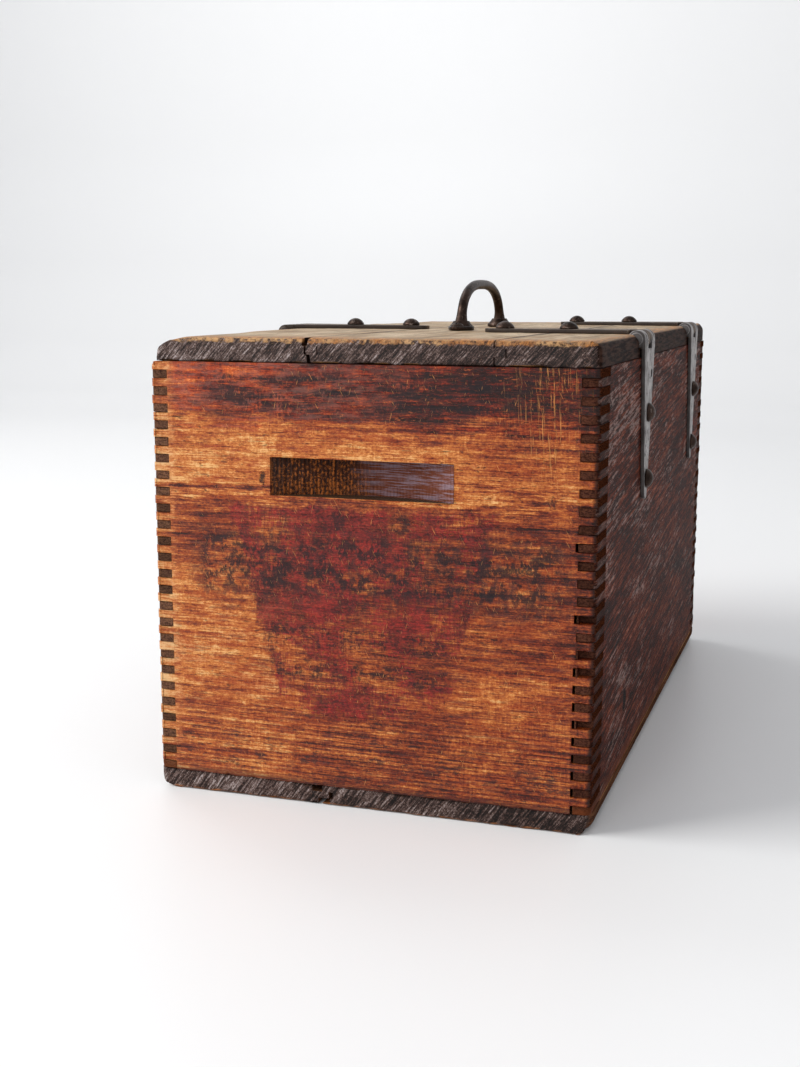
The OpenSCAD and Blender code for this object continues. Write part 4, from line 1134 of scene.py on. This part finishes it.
piece("lid_board_c", board(RIGHT_JOINT + LID_GAP, LID_RIGHT, LID_BOTTOM, LID_TOP, False, True, 88, lid_right_corner,
      hinge_notches), "lid", lid_board, ["lid_board_right"], 0.4)
for label, y in (("front", -BATTEN_Y), ("rear", BATTEN_Y)):
    piece("batten_" + label, boxed(-98, 84, y - 14, y + 14, LID_BOTTOM - BATTEN, LID_BOTTOM, 4, 100), "lid",
          batten_pine, ["lid_batten_" + label], 1.0)


# ---- Straps, pins and fasteners ----

def strap_outline(outer):
    """Plan of a tapered strap along +X from its pin, with tabs that reach its knuckles."""
    start, shoulder, tip = 5.6, 92 - 5.4, 5.4
    slope = (tip - 19) / shoulder
    wide = 19 + slope * start
    arc = [(shoulder + tip * math.sin(a), -tip * math.cos(a)) for a in np.linspace(0, math.pi, 15)]
    right_edge = [(start + (shoulder - start) * t, -(wide + (tip - wide) * t)) for t in np.linspace(0, 0.97, 12)]
    left_edge = [(px, -py) for px, py in reversed(right_edge)]
    if outer:
        tabs = [(start, 19), (0.0, 19), (0.0, 6.73), (start, 6.73), (start, -6.73), (0.0, -6.73), (0.0, -19), (start, -19)]
    else:
        tabs = [(start, 6.33), (0.0, 6.33), (0.0, -6.33), (start, -6.33)]
    return right_edge + arc + left_edge + tabs


def knuckle_rings(outer):
    """Rolled knuckles with soft shoulders and a shallow groove round each."""
    spans = [(-19, -6.73), (6.73, 19)] if outer else [(-6.33, 6.33)]
    meshes = []
    for low, high in spans:
        third = (high - low) / 3
        profile = [(low, 3.9), (low + 0.15, 4.55), (low + 0.7, 4.95), (low + third, 5.0), (low + third + 0.5, 4.8),
                   (high - third - 0.5, 4.8), (high - third, 5.0), (high - 0.7, 4.95), (high - 0.15, 4.55), (high, 3.9)]
        meshes.append(lathe(profile, 40))
    return meshes


def strap(outer, seed):
    """One leaf with its knuckles, lying along +X from a pin at the origin, outer face up."""
    holes = [circle(20, 9, 2.7, 24)]
    flat = plate(strap_outline(outer), holes, KNUCKLE - LEAF, KNUCKLE, 0.35)
    whole = merged(flat, *knuckle_rings(outer))
    points, faces = whole
    tip = np.clip((points[:, 0] - 30) / 60, 0, 1)
    points = points.copy()
    points[:, 2] += -0.16 * tip * (1 + bumps(points, (18, 14, 90), seed))
    return points, faces


def flap():
    """The slotted hasp flap with its middle knuckle."""
    half, length = 17.0, 84.0
    arc = [(length - half + half * math.sin(a), -half * math.cos(a)) for a in np.linspace(0, math.pi, 33)]
    outline = [(5.6, -half)] + arc + [(5.6, half), (5.6, 6.33), (0, 6.33), (0, -6.33), (5.6, -6.33)]
    slot_half = 13.5 - 4
    slot = [(58 + slot_half + 4 * math.sin(a), -4 * math.cos(a)) for a in np.linspace(0, math.pi, 12)]
    slot += [(58 - slot_half - 4 * math.sin(a), 4 * math.cos(a)) for a in np.linspace(0, math.pi, 12)]
    return merged(plate(outline, [slot], KNUCKLE - LEAF, KNUCKLE, 0.4), *knuckle_rings(False))


def to_lid_leaf(y):
    return Matrix.Translation((HINGE_X, y, AXIS_Z)) @ Matrix.Diagonal((-1, 1, 1, 1))


def to_side_leaf(y):
    return Matrix.Translation((HINGE_X, y, AXIS_Z)) @ Matrix.Rotation(math.radians(90), 4, "Y")


def to_flap():
    hang = Matrix.Rotation(math.radians(17), 4, "Y") @ Matrix.Diagonal((-1, 1, 1, 1))
    return Matrix.Translation((HASP_X, HASP_Y, AXIS_Z)) @ hang @ Matrix.Rotation(math.radians(90), 4, "Y")


def dome(radius, height, collar=0.7):
    """Profile of a domed head standing on 0, as (along, radius) points."""
    ball = (radius**2 + (height - collar) ** 2) / (2 * (height - collar))
    rise_angle = math.asin(min(1, radius / ball))
    arc = [(height - ball + ball * math.cos(a), ball * math.sin(a)) for a in np.linspace(rise_angle, 0.06, 9)]
    return [(0.0, radius * 0.97), (collar * 0.5, radius), *arc]


def bolt(length, seed):
    """Round-headed bolt, head above 0, worn slightly out of round."""
    head = rough_up(upright(lathe(dome(5.6, 4.2), 32)), 0.0, 3, seed)
    points, faces = head
    points = points.copy()
    points[:, :2] *= (1 - 0.02 * (1 + bumps(points, 2.5, seed)))[:, None]
    shank = upright(lathe([(-length, 1.9), (-length + 0.7, 2.5), (0.5, 2.5)], 20))
    return merged((points, faces), shank)


def square_nut(seed):
    """Square nut below 0 with chamfered corners."""
    half = 4.75
    flat = boxed(-half, half, -half, half, -4, 0, 1.6, seed, 0.1)
    points, faces = flat
    away = np.linalg.norm(points[:, :2], axis=1)
    points[:, 2] = np.where(points[:, 2] < -3.5, points[:, 2] + np.clip(away - 4.4, 0, 3) * 0.55, points[:, 2])
    return points, faces


def at_side(mesh, x, y, z):
    """Turns a shape that stands on 0 so that it stands out along +X at a place."""
    return moved(mesh, Matrix.Translation((x, y, z)) @ Matrix.Rotation(math.radians(90), 4, "Y"))


LID_BOLT = LEAF + 12.8 + 4 + 1.2
SIDE_BOLT = LEAF + SIDE + 4 + 1.2

for number, (label, y) in enumerate(zip(("front", "rear"), HINGE_YS)):
    piece(f"strap_lid_{label}", moved(strap(False, 110 + number), to_lid_leaf(y)), "lid", brown_steel,
          [label + "_hinge_lid_leaf"], angle=50)
    piece(f"strap_side_{label}", moved(strap(True, 112 + number), to_side_leaf(y)), "box", steel,
          [label + "_hinge_side_leaf"], angle=50)
piece("strap_hasp", placed(strap(True, 114), HASP_X, HASP_Y, AXIS_Z), "lid", brown_steel,
      ["hasp_lid_leaf"], angle=50)
piece("flap_hasp", moved(flap(), to_flap()), "hasp", brown_steel, ["hasp_flap"], angle=50)


def pin_mesh():
    ends = [(-20.2, 2.7), (-20.0, 3.3), (-19.1, 3.75), (-19.0, 2.55)]
    return lathe(ends + [(-a, r) for a, r in reversed(ends)], 28)


piece("pin_hinge_front", placed(pin_mesh(), HINGE_X, HINGE_YS[0], AXIS_Z), "box", steel, ["front_hinge_pin"])
piece("pin_hinge_rear", placed(pin_mesh(), HINGE_X, HINGE_YS[1], AXIS_Z), "box", steel, ["rear_hinge_pin"])
piece("pin_hasp", placed(pin_mesh(), HASP_X, HASP_Y, AXIS_Z), "lid", brown_steel, ["hasp_pin"])

side_spots = [(y, AXIS_Z - b) for y in HINGE_YS for b in BOLTS]
lid_spots = [(HINGE_X - b, y) for y in HINGE_YS for b in BOLTS]
hasp_spots = [(HASP_X + b, HASP_Y) for b in BOLTS]
piece("bolts_side", merged(*[at_side(bolt(SIDE_BOLT, 120 + i), HALF_WIDTH + LEAF, y, z)
                             for i, (y, z) in enumerate(side_spots)]), "box", iron, ["hinge_side_bolts"])
piece("nuts_side", merged(*[at_side(square_nut(i), INNER_X, y, z) for i, (y, z) in enumerate(side_spots)]), "box",
      iron, ["hinge_side_nuts"], 0.3)
piece("bolts_lid", merged(*[placed(bolt(LID_BOLT, 130 + i), x, y, LID_TOP + LEAF)
                            for i, (x, y) in enumerate(lid_spots)]), "lid", iron, ["hinge_lid_bolts"])
piece("nuts_lid", merged(*[placed(square_nut(i), x, y, LID_BOTTOM) for i, (x, y) in enumerate(lid_spots)]), "lid",
      iron, ["hinge_lid_nuts"], 0.3)
piece("bolts_hasp", merged(*[placed(bolt(LID_BOLT, 140 + i), x, y, LID_TOP + LEAF)
                             for i, (x, y) in enumerate(hasp_spots)]), "lid", iron, ["hasp_bolts"])
piece("nuts_hasp", merged(*[placed(square_nut(i), x, y, LID_BOTTOM) for i, (x, y) in enumerate(hasp_spots)]), "lid",
      iron, ["hasp_nuts"], 0.3)


def staple():
    """Bar bent to a U that stands out of the left panel, legs riveted inside."""
    bend, straight = 7.7, 4.0
    path = [(-INNER_X + 1.6, 0, bend)]
    path += [(-HALF_WIDTH - straight * t, 0, bend) for t in (0, 0.5, 1)]
    path += [(-HALF_WIDTH - straight - bend * math.sin(a), 0, bend * math.cos(a)) for a in np.linspace(0.15, math.pi - 0.15, 19)]
    path += [(-HALF_WIDTH - straight * t, 0, -bend) for t in (1, 0.5, 0)]
    path += [(-INNER_X + 1.6, 0, -bend)]
    bar = sweep(path, [2.3] * len(path), 20)
    rivets = [at_side(upright(lathe(dome(4.0, 1.6, 0.3), 24)), -INNER_X + 1.6, 0, s * bend) for s in (-1, 1)]
    return placed(merged(bar, *rivets), 0, HASP_Y, STAPLE_Z)


piece("staple_hasp", staple(), "box", iron, ["hasp_staple"])
back_holes = [circle(s * 7.7, 0, 2.35, 20) for s in (-1, 1)]
back = plate([(-16, -7), (16, -7), (16, 7), (-16, 7)], back_holes, 0, 1.6, 0.3)
piece("plate_hasp", at_side(back, -INNER_X, HASP_Y, STAPLE_Z), "box", steel, ["staple_back_plate"])


def pull():
    """Cast pull: a squarish bow on two stepped oval feet."""
    span, rise, root, power = 95.0, 28.0, 1.0, 0.78
    path, radii = [], []
    for u in np.linspace(0, 1, 73):
        angle = math.radians(90 * (1 - math.cos(math.pi * u)))
        c, s = math.cos(angle), max(0.0, math.sin(angle))
        height = root + (rise - root) * s**power
        path.append((0, math.copysign(abs(c) ** power, c) * span / 2, height))
        flare = max(0.0, 1 - height / 13.0) ** 2
        radii.append(2.97 + 2.6 * flare)
    bow = sweep(path, radii, 24)
    feet = []
    for s in (-1, 1):
        outline = []
        for a in np.linspace(0, 2 * math.pi, 40, endpoint=False):
            cx, cy = math.sin(a), math.cos(a)
            reach = 8.0 + (9.0 if cy > 0 else 0) * cy**2
            outline.append((8.0 * cx * (0.96 if cy > 0.5 else 1), reach * cy - 0.2 if cy > 0 else 8.0 * cy))
        outline = [(px, s * (span / 2 + min(py, 15.8))) for px, py in outline]
        if s < 0:
            outline.reverse()
        feet.append(plate(outline, [], 0, 2.6, 0.8))
        boss = upright(lathe([(2.2, 7.2), (3.0, 6.9), (4.0, 5.9), (5.6, 4.9)], 28))
        feet.append(placed(boss, 0, s * span / 2, 0))
    return placed(rough_up(merged(bow, *feet), 0.06, 5, 150), 2, 0, LID_TOP)


piece("pull_lid", pull(), "lid", iron, ["lid_pull"], angle=50)


def slotted_screw(seed):
    """Domed screw head with a cut slot."""
    head = upright(lathe(dome(4.0, 2.2, 0.4), 28))
    shank = upright(lathe([(-13, 0.6), (-10, 1.9), (0.3, 1.9)], 16))
    points, faces = head
    turn = chance(seed, 5) * math.pi
    across = np.abs(points[:, 0] * math.cos(turn) + points[:, 1] * math.sin(turn))
    points = points.copy()
    points[:, 2] = np.where((across < 0.55) & (points[:, 2] > 1.2), points[:, 2] - 0.8, points[:, 2])
    return merged((points, faces), shank)


piece("screws_pull", merged(*[placed(slotted_screw(i), 2, s * 56.5, LID_TOP + 2.6) for i, s in enumerate((-1, 1))]),
      "lid", iron, ["pull_screws"])


def countersunk():
    """Flat screw seen from below."""
    head = lathe([(0.0, 3.8), (0.05, 3.9), (2.0, 2.0), (19.8, 1.6), (20, 0.4)], 24)
    return upright(head)


screw_spots = [(x, y) for y in (-BATTEN_Y, BATTEN_Y) for x in (-80, -48, 12, 48, 76)]
piece("screws_batten", merged(*[placed(countersunk(), x, y, LID_BOTTOM - BATTEN) for x, y in screw_spots]), "lid",
      iron, ["batten_screws"])


def nail(length):
    return upright(lathe([(0.02, 2.6), (0.1, 2.95), (0.75, 2.95), (0.8, 1.3), (length - 2, 1.2), (length, 0.3)], 20))


nails = [placed(nail(28), s * (HALF_WIDTH - SIDE / 2 - 1), 15 - INNER_Y + i * 60.0, 0) for s in (-1, 1) for i in range(7)]
nails += [placed(nail(34), x, s * (HALF_LENGTH - END / 2), 0) for s in (-1, 1) for x in (-92, -52, 20, 56, 92)]
piece("nails_bottom", merged(*nails), "box", iron, ["bottom_nails"])


# ---- Floor, light and camera ----

def stage_floor():
    """A pale table top that curves up into a backdrop far behind."""
    shape = bmesh.new()
    profile = [(-7.0, 0.0), (1.9, 0.0), (2.2, 0.03), (2.5, 0.14), (2.75, 0.36), (2.9, 0.7), (2.95, 1.2), (2.95, 4.5)]
    rows = [[shape.verts.new((x, y, z)) for x in (-7.0, 7.0)] for y, z in profile]
    for a, b in zip(rows, rows[1:]):
        shape.faces.new((a[0], a[1], b[1], b[0]))
    data = bpy.data.meshes.new("floor")
    shape.to_mesh(data)
    shape.free()
    data.shade_smooth()
    floor = bpy.data.objects.new("floor", data)
    bpy.context.scene.collection.objects.link(floor)
    paint = bpy.data.materials.new("floor_white")
    paint.use_nodes = True
    shader = paint.node_tree.nodes["Principled BSDF"]
    shader.inputs["Base Color"].default_value = (0.86, 0.86, 0.86, 1)
    shader.inputs["Roughness"].default_value = 0.4
    shader.inputs["Specular IOR Level"].default_value = 0.35
    data.materials.append(paint)


def area_light(name, place, target, size, power, colour=(1, 1, 1)):
    lamp = bpy.data.lights.new(name, "AREA")
    lamp.shape = "RECTANGLE"
    lamp.size, lamp.size_y = size
    lamp.energy = power
    lamp.color = colour
    thing = bpy.data.objects.new(name, lamp)
    bpy.context.scene.collection.objects.link(thing)
    thing.location = place
    thing.rotation_euler = (Vector(target) - Vector(place)).to_track_quat("-Z", "Y").to_euler()


def surroundings():
    world = bpy.data.worlds.new("studio")
    bpy.context.scene.world = world
    world.use_nodes = True
    background = world.node_tree.nodes["Background"]
    background.inputs["Color"].default_value = (0.94, 0.96, 1.0, 1)
    background.inputs["Strength"].default_value = 0.55
    area_light("window", (-1.9, -1.0, 1.5), (0, 0, 0.1), (1.6, 1.4), 56, (1, 0.99, 0.97))
    area_light("fill", (0.2, -2.4, 1.2), (0, 0, 0.15), (1.6, 1.2), 14)
    area_light("backdrop", (-1.6, 1.2, 2.6), (0.2, 2.9, 0.6), (1.6, 1.2), 21)


def camera():
    lens = bpy.data.cameras.new("camera")
    lens.sensor_fit = "AUTO"
    lens.sensor_width = 36
    lens.lens = 47.43
    lens.clip_start = 0.02
    thing = bpy.data.objects.new("camera", lens)
    bpy.context.scene.collection.objects.link(thing)
    forward = Vector((-0.308383, 0.936193, -0.168647))
    up = Vector((-0.054156, 0.159722, 0.985675))
    right = forward.cross(up).normalized()
    up = right.cross(forward).normalized()
    turn = Matrix((right, up, -forward)).transposed().to_4x4()
    thing.matrix_world = Matrix.Translation((0.2405, -0.8919, 0.2715)) @ turn
    bpy.context.scene.camera = thing


stage_floor()
surroundings()
camera()
bpy.context.scene.view_settings.view_transform = "Standard"
